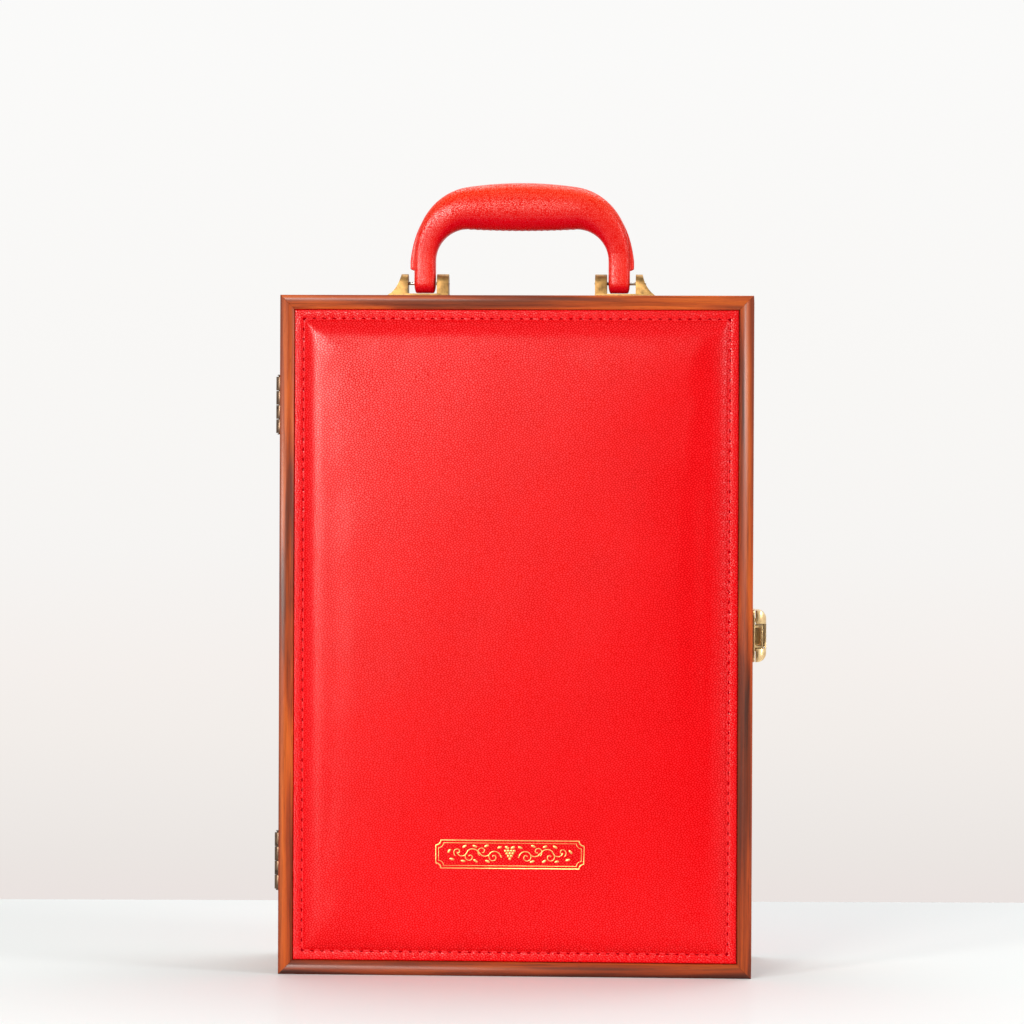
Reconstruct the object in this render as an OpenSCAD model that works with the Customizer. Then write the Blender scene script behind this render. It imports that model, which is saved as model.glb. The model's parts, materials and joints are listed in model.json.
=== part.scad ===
// Two-bottle wine case: two mitred wooden shells joined by butt hinges, a padded leather panel
// front and back, a swivelling leather handle on top and an over-cover catch on the side.
// +X is the catch side, -Y the front, +Z up; the origin is the middle of the foot.

/* [Case] */
// Width across the two side walls
box_w = 247; // [240:1:300]
// Height of the standing case
box_h = 355; // [345:1:420]
// Depth from the front frame to the back frame
box_d = 110; // [106:1:130]
// Depth of the hinged front shell
lid_d = 31; // [28:1:36]
// Gap between the two shells when shut
shell_gap = 0.3; // [0.2:0.1:0.6]

/* [Wooden rails] */
// Thickness of the case walls
wall_t = 10; // [9:0.5:12]
// Width of the arched moulding round each panel
face_w = 7.4; // [6.4:0.1:8]
// Rise of the arch over its edges
face_rise = 1.3; // [0.8:0.1:2]

/* [Leather panels] */
// Depth of the leather margin below the crown of the moulding
panel_drop = 1.8; // [1.5:0.1:2.5]
// Gap between a panel and the rails around it
panel_gap = 0.3; // [0.2:0.1:0.6]
// Thickness of the leather
leather_t = 1.2; // [0.8:0.1:1.6]
// Thickness of the panel board
board_t = 3; // [2.5:0.5:5]
// Flat margin from the panel's edge to the foot of the pillow
margin_w = 5.2; // [5:0.1:9]
// Width of the pillow's shoulder
shoulder_w = 13; // [9:1:18]
// Rise of the front pillow
front_pad_h = 4.4; // [2:0.1:6]
// Rise of the back pillow
back_pad_h = 2.2; // [1:0.1:4]
// Extra rise from the shoulder to the middle of a pillow
pad_crown = 0.7; // [0.2:0.1:1.5]
// Corner radius at the foot of a pillow
pad_corner_r = 4; // [2:0.5:8]

/* [Lining and bottle tray] */
// Thickness of the wall lining
lining_t = 1; // [0.8:0.1:2]
// Set-back of the lining from the rim of its shell
lining_setback = 0.6; // [0.4:0.1:2]
// Gap between a liner or tray and the walls
liner_gap = 0.3; // [0.2:0.1:0.6]
// Thickness of the lid's padded lining
lid_pad_t = 7; // [4:0.5:8]
// Radius of the body of a bottle trough
bottle_r = 39; // [37:0.5:40]
// Length of the straight body of a trough
bottle_body_l = 196; // [170:1:210]
// Radius of the neck of a trough
neck_r = 17; // [15:0.5:19]
// Radius of the two arcs that form a trough's shoulder
bottle_shoulder_r = 30; // [20:1:36]
// Full length of a trough
bottle_l = 312; // [300:1:316]
// Wall left between a trough and the case wall
tray_edge = 4; // [3:0.5:5]
// Floor left behind a trough
tray_floor = 4; // [3:0.5:6]
// Rib left between a trough and the tool well
tray_rib = 8; // [6:0.5:12]
// Length of the tool well
tool_well_l = 240; // [160:5:270]
// Depth of the tool well
tool_well_d = 30; // [20:1:36]

/* [Hinges] */
// Height of a hinge
hinge_h = 30; // [24:1:40]
// Height of a hinge's middle above the foot, and below the top
hinge_inset = 57; // [40:1:90]
// Width of a leaf from the joint
hinge_leaf_w = 12; // [10:0.5:16]
// Thickness of a leaf
hinge_leaf_t = 1; // [0.8:0.1:1.4]
// Outer radius of the knuckles
knuckle_r = 2.4; // [2.2:0.1:3]
// Number of knuckles, shared in turn by the two leaves
knuckle_n = 4; // [4:1:7]
// Gap between neighbouring knuckles
knuckle_gap = 0.3; // [0.2:0.1:0.5]
// Radius of a hinge pin
hinge_pin_r = 1.2; // [0.9:0.1:1.4]

/* [Handle] */
// Distance between the middles of the two legs
handle_span = 103.4; // [96:0.1:130]
// Width of a leg along the case
leg_w = 11.4; // [10:0.1:13]
// Thickness of a leg from front to back
leg_t = 10.4; // [9.5:0.1:10.8]
// Height of the finger gap above the pins
grip_rise = 28.8; // [26:0.1:36]
// Radius of the inner corner between leg and grip
inner_corner_r = 17; // [14:0.5:20]
// Height of the grip's section where it leaves the corner
grip_end_h = 22.5; // [20:0.5:26]
// Extra height of the grip's back at the middle
grip_crown = 2.1; // [1:0.1:4]
// Sag of the grip's belly at the middle
grip_belly = 0.8; // [0.4:0.1:2]
// Thickness of the grip from front to back
grip_t = 19; // [16:0.5:22]
// Height of the seam spine at the foot of its run on a leg
spine_h = 2.2; // [1:0.1:2.6]
// Thickness of the seam spine from front to back
spine_t = 3.4; // [2.4:0.1:4.4]
// Thickness of the steel bar inside, in the plane of the handle
core_t = 2.5; // [2:0.1:3.5]
// Width of the steel bar from front to back
core_w = 6; // [4:0.5:7]
// Radius of the eye at each end of the bar
core_eye_r = 3.2; // [2.6:0.1:3.8]
// Length of the eye along its pin
core_eye_l = 7; // [5:0.5:8]

/* [Handle brackets] */
// Height of the pins above the case
pin_rise = 8.2; // [8.2:0.1:10]
// Radius of a handle pin
handle_pin_r = 0.9; // [0.8:0.1:1.3]
// Radius of the rounded top of an ear about the pin
ear_r = 4.9; // [4:0.1:6]
// Thickness of the inner ear
inner_ear_t = 6.2; // [4:0.1:7]
// Thickness of the outer ear at its top
outer_ear_t = 3.6; // [3:0.1:5]
// Gap between a leg and the inner ear
inner_ear_gap = 0.8; // [0.5:0.1:1.5]
// Length of bare pin between a leg and the outer ear
bare_pin_l = 3.2; // [2.8:0.1:5]
// Thickness of the base of a bracket
bracket_base_t = 2.5; // [2:0.1:2.7]
// Depth of the base from front to back
bracket_base_d = 17; // [16:0.5:22]
// Radius of the sweep from the outer ear down to its foot
foot_sweep_r = 17; // [14:0.5:20]
// Reach of the swept foot beyond the outer ear
foot_reach = 8.6; // [7:0.1:9.5]
// Thickness of the tip of the foot
foot_tip_t = 0.6; // [0.4:0.1:1.2]

/* [Catch] */
// Height of the catch
catch_h = 27; // [26:0.5:32]
// Reach of the lever from its pin to its nose
lever_reach = 24.5; // [22:0.5:28]
// Distance of the lever's pin behind the joint
lever_pin_back = 12; // [11:0.5:14]
// Height of the lever's pin above the case wall
lever_pin_rise = 4; // [3.8:0.1:4.6]
// Height of the lever's crown above the case wall
lever_crown = 7.1; // [6.8:0.1:8]
// Wall thickness of the lever's cover
lever_wall = 1; // [0.8:0.1:1.2]
// Rounding of the lever's domed lobes
lobe_r = 4.8; // [3.5:0.1:5]
// Height of the open middle between the lobes
lever_mouth_h = 13; // [12.8:0.1:15]
// Outer radius of the barrel round the pin
barrel_r = 2.3; // [2:0.1:2.5]
// Radius of the lever's pin
catch_pin_r = 0.9; // [0.7:0.1:1.1]
// Thickness of the plate and keeper on the wall
catch_plate_t = 1.2; // [1:0.1:1.5]
// Thickness of each ear of the plate
catch_ear_t = 2; // [1.4:0.1:2.4]
// Length of the plate behind the joint
catch_plate_l = 22; // [21:0.5:26]
// Length of the keeper in front of the joint
keeper_l = 15; // [13:0.5:18]
// Height of the keeper's tunnel
tunnel_h = 12; // [10:0.1:12.2]
// Wall thickness of the tunnel
tunnel_wall = 1.5; // [0.8:0.1:1.6]
// Length of the tunnel from front to back
tunnel_l = 6; // [4:0.5:7]

/* [Fasteners and fits] */
// Radius of a small screw's head
screw_head_r = 1.7; // [1.4:0.1:1.8]
// Radius of a small screw's shank
screw_r = 0.8; // [0.6:0.1:1]
// Length of a small screw
screw_l = 7.5; // [6:0.5:8.5]
// Radial running clearance of a pin in its bore
pin_fit = 0.05; // [0.02:0.01:0.1]
// Gap between moving pieces that pass each other
run_gap = 0.3; // [0.2:0.1:0.4]

/* [Hidden] */

// finishes
wood_c = [0.64, 0.31, 0.16];
leather_c = [0.93, 0.13, 0.14];
foam_c = [0.93, 0.90, 0.80];
board_c = [0.72, 0.58, 0.42];
lining_c = [0.86, 0.78, 0.62];
bronze_c = [0.42, 0.30, 0.18];
brass_c = [0.69, 0.56, 0.34];
gold_c = [0.86, 0.70, 0.38];
steel_c = [0.70, 0.70, 0.70];

round_fn = 48;
over = 0.5; // how far a cutting shape reaches past what it cuts
eps = 0.01;

// the case
front_y = -box_d / 2;
back_y = box_d / 2;
joint_y = front_y + lid_d;
lid_rim_y = joint_y - shell_gap / 2;
base_rim_y = joint_y + shell_gap / 2;
lid_rail_d = lid_rim_y - front_y;
base_rail_d = back_y - base_rim_y;
mid_z = box_h / 2;
rabbet_d = panel_drop + leather_t + board_t;
arch_r = (face_w * face_w / 4 + face_rise * face_rise) / (2 * face_rise);

// the panels
panel_w = box_w - 2 * (face_w + panel_gap);
panel_h = box_h - 2 * (face_w + panel_gap);
board_w = panel_w - 2 * leather_t;
board_h = panel_h - 2 * leather_t;
corner_steps = 5;
shoulder_steps = 6;
crown_inset = 45;
skin_edge_r = 1; // rounding of the leather over the edge of its board

// the inside
inner_w = box_w - 2 * wall_t;
inner_h = box_h - 2 * wall_t;
tray_w = inner_w - 2 * (lining_t + liner_gap);
tray_h = inner_h - 2 * (lining_t + liner_gap);
back_board_y = back_y - rabbet_d;
front_board_y = front_y + rabbet_d;
tray_back_y = back_board_y - liner_gap;
bottle_y = tray_back_y - tray_floor - bottle_r;
bottle_x = tray_w / 2 - tray_edge - bottle_r;
bottle_z = (box_h - bottle_l) / 2;
tool_well_w = 2 * (bottle_x - bottle_r - tray_rib);
bottle_shoulder_a = acos(1 - (bottle_r - neck_r) / (2 * bottle_shoulder_r));
bottle_shoulder_l = 2 * bottle_shoulder_r * sin(bottle_shoulder_a);
shoulder_arc_steps = 6;
lid_pad_corner_r = 1;
lid_pad_steps = 3;

// the hinges
hinge_x = -box_w / 2 - knuckle_r - run_gap;
knuckle_pitch = hinge_h / knuckle_n;
leaf_corner_r = 1.5;
leaf_screw_share = 0.64; // share of a leaf's width at which its screws sit
screw_spread = 0.3; // share of a fitting's height between its middle and a screw
hinge_screw_y = hinge_leaf_w * leaf_screw_share;
hinge_screw_z = hinge_h * screw_spread;
hinge_head_t = 0.5; // height of a pin's head, and how far it overhangs the pin
hinge_head_r = hinge_pin_r + hinge_head_t;
hinge_z = [box_h - hinge_inset, hinge_inset];

// the handle, in a frame at the middle of its pins
handle_z = box_h + pin_rise;
leg_x = handle_span / 2;
leg_in_x = leg_x - leg_w / 2;
leg_out_x = leg_x + leg_w / 2;
corner_x = leg_in_x - inner_corner_r;
corner_z = grip_rise - inner_corner_r;
leg_end_r = leg_t / 2;
leg_end_tuck = 1.2; // how far each side of a leg draws in round its end
leg_tip_half = 0.9; // half thickness left at the tip of a leg
spine_clear = 2.6; // height of the spine's foot above the ears
spine_foot_z = ear_r + spine_clear;
spine_sink = 1.5; // how far the spine is rooted in the leg
spine_fade = 0.7; // share of the corner's turn over which the spine dies away
spine_fall = 1.4; // power by which it dies away
spine_end_sink = 0.6; // share of its root to which its crest sinks at the end
spine_crest = 0.7; // share of its thickness left at its crest
spine_side = 0.6; // share of its height that is straight before it narrows
core_path_r = inner_corner_r + leg_w / 2;
ring_points = 20;
end_steps = 4;
leg_steps = 3;
corner_ring_steps = 9;
grip_steps = 5;

// the brackets
plate_x0 = leg_in_x - inner_ear_gap - inner_ear_t;
gap_x1 = leg_out_x + bare_pin_l;
ear_x1 = gap_x1 + outer_ear_t;
foot_x1 = ear_x1 + foot_reach;
ear_h = pin_rise + ear_r;
sweep_fall = ear_h - foot_tip_t;
sweep_chord = sqrt(foot_reach * foot_reach + sweep_fall * sweep_fall);
sweep_back = sqrt(foot_sweep_r * foot_sweep_r - sweep_chord * sweep_chord / 4);
sweep_x = (ear_x1 + foot_x1) / 2 + sweep_back * sweep_fall / sweep_chord;
sweep_z = (ear_h + foot_tip_t) / 2 + sweep_back * foot_reach / sweep_chord;
screw_land = 0.5; // base left between a screw's head and the edge
bracket_screw_y = bracket_base_d / 2 - screw_head_r - screw_land;
handle_pin_x1 = sweep_x - sqrt(foot_sweep_r * foot_sweep_r - pow(pin_rise - sweep_z, 2));
pin_tip = 0.4;

// the catch, in a frame on the side wall at the joint and at mid height
catch_x = box_w / 2;
plate_ear_z = catch_h / 2 - lobe_r - catch_ear_t;
catch_ear_r = lever_crown - lever_wall - run_gap - lever_pin_rise;
nose_y = lever_pin_back - lever_reach;
lever_foot = catch_plate_t + run_gap;
lobe_crown_end = nose_y + lobe_r;
tunnel_crown = lever_crown - lever_wall - 2 * run_gap;
plate_corner_r = 3;
mouth_stop = 1; // how far in front of the joint the lever's mouth ends
latch_screw_y = (lever_pin_back + barrel_r + catch_plate_l) / 2;
latch_screw_z = catch_h * screw_spread;
keeper_screw_y = -keeper_l / 2;
keeper_screw_z = (tunnel_h / 2 + catch_h / 2) / 2;

// ---------------------------------------------------------------- wooden rails

// Section of a rail: x is the way in from the case's outer face, y the way back from the crown
// of the arched moulding. The rabbet behind the moulding's inner edge takes the panel.
module rail_section(depth) {
    translate([0, face_rise])
        square([face_w, depth - face_rise]);
    translate([0, rabbet_d])
        square([wall_t, depth - rabbet_d]);
    intersection() {
        square([face_w, face_rise + eps]);
        translate([face_w / 2, arch_r])
            circle(r = arch_r, $fn = round_fn);
    }
}

// A rail of the given length along X, mitred at both ends, its outer face down and its
// moulding to the front
module mitred_rail(length, depth) {
    half = length / 2;
    intersection() {
        rotate([0, -90, 0])
            linear_extrude(height = length, center = true)
                rail_section(depth);
        rotate([90, 0, 0])
            translate([0, 0, -depth - over])
                linear_extrude(height = depth + 2 * over)
                    polygon([[-half, 0], [half, 0], [half - wall_t, wall_t], [wall_t - half, wall_t]]);
    }
}

// One rail turned into its place in a shell whose moulding is at the front: turn 0 is the
// bottom, 180 the top, 90 the side at -X and -90 the side at +X
module shell_rail(turn, depth) {
    upright = abs(turn) == 90;
    length = upright ? box_h : box_w;
    out = upright ? box_w / 2 : box_h / 2;
    translate([0, front_y, mid_z])
        rotate([0, turn, 0])
            translate([0, 0, -out])
                mitred_rail(length, depth);
}

// The rear shell is the same shell, deeper, with its moulding at the back
module rear_shell_rail(turn) {
    mirror([0, 1, 0])
        shell_rail(turn, base_rail_d);
}

module lid_top_rail() color(wood_c) shell_rail(180, lid_rail_d);

module lid_bottom_rail() color(wood_c) shell_rail(0, lid_rail_d);

module lid_hinge_rail() {
    color(wood_c)
        difference() {
            shell_rail(90, lid_rail_d);
            hinge_screw_set(-1, pin_fit);
        }
}

module lid_latch_rail() {
    color(wood_c)
        difference() {
            shell_rail(-90, lid_rail_d);
            keeper_screw_set(pin_fit);
        }
}

module base_top_rail() {
    color(wood_c)
        difference() {
            rear_shell_rail(180);
            bracket_screw_set(pin_fit);
        }
}

module base_bottom_rail() color(wood_c) rear_shell_rail(0);

module base_hinge_rail() {
    color(wood_c)
        difference() {
            rear_shell_rail(90);
            hinge_screw_set(1, pin_fit);
        }
}

module base_latch_rail() {
    color(wood_c)
        difference() {
            rear_shell_rail(-90);
            latch_screw_set(pin_fit);
        }
}

// ---------------------------------------------------------------- leather panels

// Points of a rounded rectangle in the X-Z plane at depth y
function rounded_ring(w, h, r, y) = [
    for (corner = [0 : 3], k = [0 : corner_steps])
        let (a = corner * 90 + k * 90 / corner_steps,
             sx = (corner == 0 || corner == 3) ? 1 : -1,
             sz = corner < 2 ? 1 : -1)
        [sx * (w / 2 - r) + r * cos(a), y, sz * (h / 2 - r) + r * sin(a)]
];

// Closed solid through a list of rings that all have the same number of points
module ring_solid(rings) {
    n = len(rings[0]);
    last = len(rings) - 1;
    polyhedron(
        points = [for (ring = rings) each ring],
        faces = concat(
            [[for (k = [0 : n - 1]) k]],
            [for (i = [0 : last - 1], k = [0 : n - 1])
                let (here = i * n + k, next = i * n + (k + 1) % n)
                [here, here + n, next + n, next]],
            [[for (k = [n - 1 : -1 : 0]) last * n + k]]
        )
    );
}

// Rings of a pillow from its foot to its flat middle, grown by skin all round
function pillow_rings(rise, skin) = concat(
    [for (i = [0 : shoulder_steps])
        let (a = 90 * i / shoulder_steps,
             inset = shoulder_w * (1 - cos(a)),
             r = pad_corner_r + skin + inset)
        rounded_ring(panel_w - 2 * (margin_w + inset - skin), panel_h - 2 * (margin_w + inset - skin),
            r, -skin - rise * sin(a))],
    [let (inset = shoulder_w + crown_inset)
        rounded_ring(panel_w - 2 * (margin_w + inset), panel_h - 2 * (margin_w + inset),
            pad_corner_r + inset / 2, -skin - rise - pad_crown)]
);

function reversed(list) = [for (i = [len(list) - 1 : -1 : 0]) list[i]];

// Foam pillow on the front of its board, which is the plane y = 0
module foam_pillow(rise) {
    rings = pillow_rings(rise, 0);
    ring_solid(reversed(concat([rounded_ring(panel_w - 2 * margin_w, panel_h - 2 * margin_w,
        pad_corner_r, 0)], [for (i = [1 : len(rings) - 1]) rings[i]])));
}

// Leather drawn over pillow and board and down the board's edges
module leather_skin(rise) {
    outer = reversed(pillow_rings(rise, leather_t));
    inner = pillow_rings(rise, 0);
    ring_solid(concat(
        outer,
        [rounded_ring(panel_w - 2 * skin_edge_r, panel_h - 2 * skin_edge_r, pad_corner_r, -leather_t),
         rounded_ring(panel_w, panel_h, skin_edge_r, skin_edge_r - leather_t),
         rounded_ring(panel_w, panel_h, skin_edge_r, board_t),
         rounded_ring(board_w, board_h, skin_edge_r / 2, board_t),
         rounded_ring(board_w, board_h, skin_edge_r / 2, 0)],
        inner
    ));
}

module board_sheet() {
    translate([-board_w / 2, 0, -board_h / 2])
        cube([board_w, board_t, board_h]);
}

// Puts a panel piece in the rabbet of the front shell
module in_front() {
    translate([0, front_board_y - board_t, mid_z])
        children();
}

// Puts a panel piece in the rabbet of the rear shell
module in_back() {
    mirror([0, 1, 0])
        in_front()
            children();
}

module lid_panel_board() color(board_c) in_front() board_sheet();

module lid_panel_pad() color(foam_c) in_front() foam_pillow(front_pad_h);

module lid_panel_leather() color(leather_c) in_front() leather_skin(front_pad_h);

module back_panel_board() color(board_c) in_back() board_sheet();

module back_panel_pad() color(foam_c) in_back() foam_pillow(back_pad_h);

module back_panel_leather() color(leather_c) in_back() leather_skin(back_pad_h);

// ---------------------------------------------------------------- inside

// Four-sided lining of the walls between two depths
module wall_lining(y0, y1) {
    translate([0, y0, mid_z])
        rotate([-90, 0, 0])
            linear_extrude(height = y1 - y0)
                difference() {
                    square([inner_w, inner_h], center = true);
                    square([inner_w - 2 * lining_t, inner_h - 2 * lining_t], center = true);
                }
}

module lid_wall_lining() color(lining_c) wall_lining(front_board_y, lid_rim_y - lining_setback);

module base_wall_lining() color(lining_c) wall_lining(base_rim_y + lining_setback, back_board_y);

// Padded lining of the lid, its edges rolled down on the side of the bottles
module lid_lining_pad() {
    roll_r = lid_pad_t / 2;
    color(lining_c)
        translate([0, front_board_y, mid_z])
            ring_solid(concat(
                [rounded_ring(tray_w, tray_h, lid_pad_corner_r, 0)],
                [for (i = [0 : lid_pad_steps])
                    let (a = 90 * i / lid_pad_steps, inset = roll_r * (1 - cos(a)))
                    rounded_ring(tray_w - 2 * inset, tray_h - 2 * inset, lid_pad_corner_r + inset,
                        lid_pad_t - roll_r * (1 - sin(a)))]
            ));
}

// Half outline of a bottle: straight body, two equal arcs for the shoulder, straight neck
function bottle_outline() = concat(
    [[0, 0], [bottle_r, 0]],
    [for (i = [0 : shoulder_arc_steps])
        let (a = bottle_shoulder_a * i / shoulder_arc_steps)
        [bottle_r - bottle_shoulder_r * (1 - cos(a)), bottle_body_l + bottle_shoulder_r * sin(a)]],
    [for (i = [shoulder_arc_steps - 1 : -1 : 0])
        let (a = bottle_shoulder_a * i / shoulder_arc_steps)
        [neck_r + bottle_shoulder_r * (1 - cos(a)),
         bottle_body_l + bottle_shoulder_l - bottle_shoulder_r * sin(a)]],
    [[neck_r, bottle_l], [0, bottle_l]]
);

module bottle_trough(side) {
    translate([side * bottle_x, bottle_y, bottle_z])
        rotate_extrude($fn = round_fn)
            polygon(bottle_outline());
}

// Round-ended slot between the bottles for corkscrew, pourer and stopper
module tool_well() {
    straight = tool_well_l - tool_well_w;
    translate([0, bottle_y - over, mid_z])
        rotate([-90, 0, 0])
            linear_extrude(height = tool_well_d + over) {
                square([tool_well_w, straight], center = true);
                for (end = [-1, 1])
                    translate([0, end * straight / 2])
                        circle(d = tool_well_w, $fn = round_fn);
            }
}

module bottle_tray() {
    color(lining_c)
        difference() {
            translate([-tray_w / 2, bottle_y, mid_z - tray_h / 2])
                cube([tray_w, tray_back_y - bottle_y, tray_h]);
            for (side = [-1, 1])
                bottle_trough(side);
            tool_well();
        }
}

// ---------------------------------------------------------------- screws

// Countersunk cross-head screw: its head's face is the plane z = 0 and it points down.
// grow widens it by a clearance and leaves out the cross, to cut its hole
module small_screw(grow = 0) {
    head_t = screw_head_r - screw_r;
    cross_l = 2;
    cross_w = 0.5;
    cross_d = 0.5;
    difference() {
        union() {
            translate([0, 0, -head_t])
                cylinder(r1 = screw_r + grow, r2 = screw_head_r + grow, h = head_t, $fn = round_fn);
            translate([0, 0, -screw_l - grow])
                cylinder(r = screw_r + grow, h = screw_l + grow - head_t + eps, $fn = round_fn);
        }
        if (grow == 0)
            for (turn = [0, 90])
                rotate([0, 0, turn])
                    translate([-cross_l / 2, -cross_w / 2, -cross_d])
                        cube([cross_l, cross_w, cross_d + over]);
    }
}

// Two screws in each hinge leaf on one side of the joint: side 1 is the base, -1 the lid
module hinge_screw_set(side, grow = 0) {
    for (z = hinge_z, dz = [-1, 1])
        translate([-box_w / 2 - hinge_leaf_t, joint_y + side * hinge_screw_y, z + dz * hinge_screw_z])
            rotate([0, -90, 0])
                small_screw(grow);
}

module bracket_screw_set(grow = 0) {
    for (side = [-1, 1], dy = [-1, 1])
        translate([side * leg_x, dy * bracket_screw_y, box_h + bracket_base_t])
            small_screw(grow);
}

module latch_screw_set(grow = 0) {
    for (dz = [-1, 1])
        translate([catch_x + catch_plate_t, joint_y + latch_screw_y, mid_z + dz * latch_screw_z])
            rotate([0, 90, 0])
                small_screw(grow);
}

module keeper_screw_set(grow = 0) {
    for (dz = [-1, 1])
        translate([catch_x + catch_plate_t, joint_y + keeper_screw_y, mid_z + dz * keeper_screw_z])
            rotate([0, 90, 0])
                small_screw(grow);
}

module hinge_base_screws() color(bronze_c) hinge_screw_set(1);

module hinge_lid_screws() color(bronze_c) hinge_screw_set(-1);

module handle_bracket_screws() color(brass_c) bracket_screw_set();

module latch_screws() color(gold_c) latch_screw_set();

module keeper_screws() color(gold_c) keeper_screw_set();

// ---------------------------------------------------------------- hinges

// Leaf plate on the side wall, from the joint to its outer edge, with rounded outer corners
module leaf_plate(side, y0) {
    rotate([0, -90, 0])
        linear_extrude(height = hinge_leaf_t)
            difference() {
                translate([-hinge_h / 2, side > 0 ? y0 : -hinge_leaf_w])
                    square([hinge_h, hinge_leaf_w - y0]);
                for (end = [-1, 1])
                    translate([end * (hinge_h / 2 - leaf_corner_r), side * (hinge_leaf_w - leaf_corner_r)])
                        corner_cut(end, side, leaf_corner_r);
            }
}

// Square corner less its quarter circle: cutting it away rounds a corner
module corner_cut(sx, sy, r) {
    scale_x = sx > 0 ? 0 : -r - over;
    scale_y = sy > 0 ? 0 : -r - over;
    difference() {
        translate([scale_x, scale_y])
            square([r + over, r + over]);
        circle(r = r, $fn = round_fn);
    }
}

// Leaf with its own knuckles: side 1 is the base's leaf and has the even knuckles from below
module hinge_leaf(side, z) {
    first = side > 0 ? 0 : 1;
    own_y0 = shell_gap / 2;
    clear_y0 = knuckle_r + run_gap;
    translate([-box_w / 2, joint_y, z])
        difference() {
            union() {
                leaf_plate(side, own_y0);
                for (k = [first : 2 : knuckle_n - 1])
                    translate([hinge_x + box_w / 2, 0, k * knuckle_pitch - hinge_h / 2])
                        cylinder(r = knuckle_r, h = knuckle_pitch - knuckle_gap, $fn = round_fn);
            }
            for (k = [1 - first : 2 : knuckle_n - 1])
                translate([-2 * knuckle_r - run_gap, -clear_y0,
                           k * knuckle_pitch - hinge_h / 2 - knuckle_gap])
                    cube([2 * knuckle_r + run_gap + over, 2 * clear_y0, knuckle_pitch + knuckle_gap]);
            translate([hinge_x + box_w / 2, 0, -hinge_h / 2 - over])
                cylinder(r = hinge_pin_r + pin_fit, h = hinge_h + 2 * over, $fn = round_fn);
            translate([box_w / 2, -joint_y, -z])
                hinge_screw_set(side, pin_fit);
        }
}

// Pin with a small head at each end
module hinge_pin(z) {
    color(bronze_c)
        translate([hinge_x, joint_y, z]) {
            cylinder(r = hinge_pin_r, h = hinge_h + 2 * run_gap, center = true, $fn = round_fn);
            for (end = [-1, 1])
                translate([0, 0, end * (hinge_h / 2 + run_gap + hinge_head_t / 2)])
                    cylinder(r = hinge_head_r, h = hinge_head_t, center = true, $fn = round_fn);
        }
}

module upper_hinge_base_leaf() color(bronze_c) hinge_leaf(1, hinge_z[0]);

module upper_hinge_lid_leaf() color(bronze_c) hinge_leaf(-1, hinge_z[0]);

module upper_hinge_pin() hinge_pin(hinge_z[0]);

module lower_hinge_base_leaf() color(bronze_c) hinge_leaf(1, hinge_z[1]);

module lower_hinge_lid_leaf() color(bronze_c) hinge_leaf(-1, hinge_z[1]);

module lower_hinge_pin() hinge_pin(hinge_z[1]);

// ---------------------------------------------------------------- handle

// Growth of the handle's section from leg to grip as the corner turns, 0 to 1. Its slope at
// the end meets the slope of the grip's crowned back.
crown_slope = 2 * grip_crown / corner_x;
grow_end = crown_slope * (inner_corner_r + grip_end_h) * PI / 2 / (grip_end_h - leg_w);
function corner_grow(t) = (3 - grow_end) * t * t + (grow_end - 2) * t * t * t;

function smooth(t) = t * t * (3 - 2 * t);

// A station of the handle: [inner x, inner z, outer x, outer z, half thickness, squareness]
leg_square = 3.6;
grip_square = 2.3;

function end_station(t) =
    let (a = 90 * t, dz = leg_end_r * sin(a), half = leg_end_r * cos(a), tuck = leg_end_tuck * (1 - cos(a)))
    [leg_in_x + tuck, -dz, leg_out_x - tuck, -dz, max(half, leg_tip_half), leg_square];

function leg_station(t) = [leg_in_x, corner_z * t, leg_out_x, corner_z * t, leg_end_r, leg_square];

function corner_station(t) =
    let (a = 90 * t, r = inner_corner_r + leg_w + (grip_end_h - leg_w) * corner_grow(t))
    [corner_x + inner_corner_r * cos(a), corner_z + inner_corner_r * sin(a),
     corner_x + r * cos(a), corner_z + r * sin(a),
     leg_end_r + (grip_t / 2 - leg_end_r) * smooth(t),
     leg_square + (grip_square - leg_square) * smooth(t)];

// t runs from the corner, 0, to the middle of the grip, 1
function grip_station(t) =
    let (x = corner_x * (1 - t), bow = 1 - pow(1 - t, 2))
    [x, grip_rise - grip_belly * bow, x, grip_rise + grip_end_h + grip_crown * bow, grip_t / 2, grip_square];

function mirrored(s) = [-s[0], s[1], -s[2], s[3], s[4], s[5]];

half_handle = concat(
    [for (i = [end_steps : -1 : 1]) end_station(i / end_steps)],
    [for (i = [0 : leg_steps - 1]) leg_station(i / leg_steps)],
    [for (i = [0 : corner_ring_steps]) corner_station(i / corner_ring_steps)],
    [for (i = [1 : grip_steps]) grip_station(i / grip_steps)]
);
whole_handle = concat(half_handle,
    [for (i = [len(half_handle) - 2 : -1 : 0]) mirrored(half_handle[i])]);

function signed_pow(v, p) = sign(v) * pow(abs(v), p);

// Ring of points about a station: a circle squared off by its squareness
function station_ring(s) = [
    for (k = [0 : ring_points - 1])
        let (a = 360 * k / ring_points,
             u = signed_pow(cos(a), 2 / s[5]),
             v = signed_pow(sin(a), 2 / s[5]))
        [(s[0] + s[2]) / 2 + (s[2] - s[0]) / 2 * u, s[4] * v, (s[1] + s[3]) / 2 + (s[3] - s[1]) / 2 * u]
];

// Padded leather body of the handle, swept from leg to leg
module handle_body() {
    ring_solid([for (s = whole_handle) station_ring(s)]);
}

// Ring of the seam spine at a point on the outside of a leg; dir points outwards
function spine_ring(out_x, out_z, dir_x, dir_z, height, side) =
    let (half = spine_t / 2, tip = half * spine_crest, low = -spine_sink, mid = height * spine_side)
    [for (p = [[low, -half], [mid, -half], [height, -tip], [height, tip], [mid, half], [low, half]])
        [side * (out_x + dir_x * p[0]), side * p[1], out_z + dir_z * p[0]]];

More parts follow.
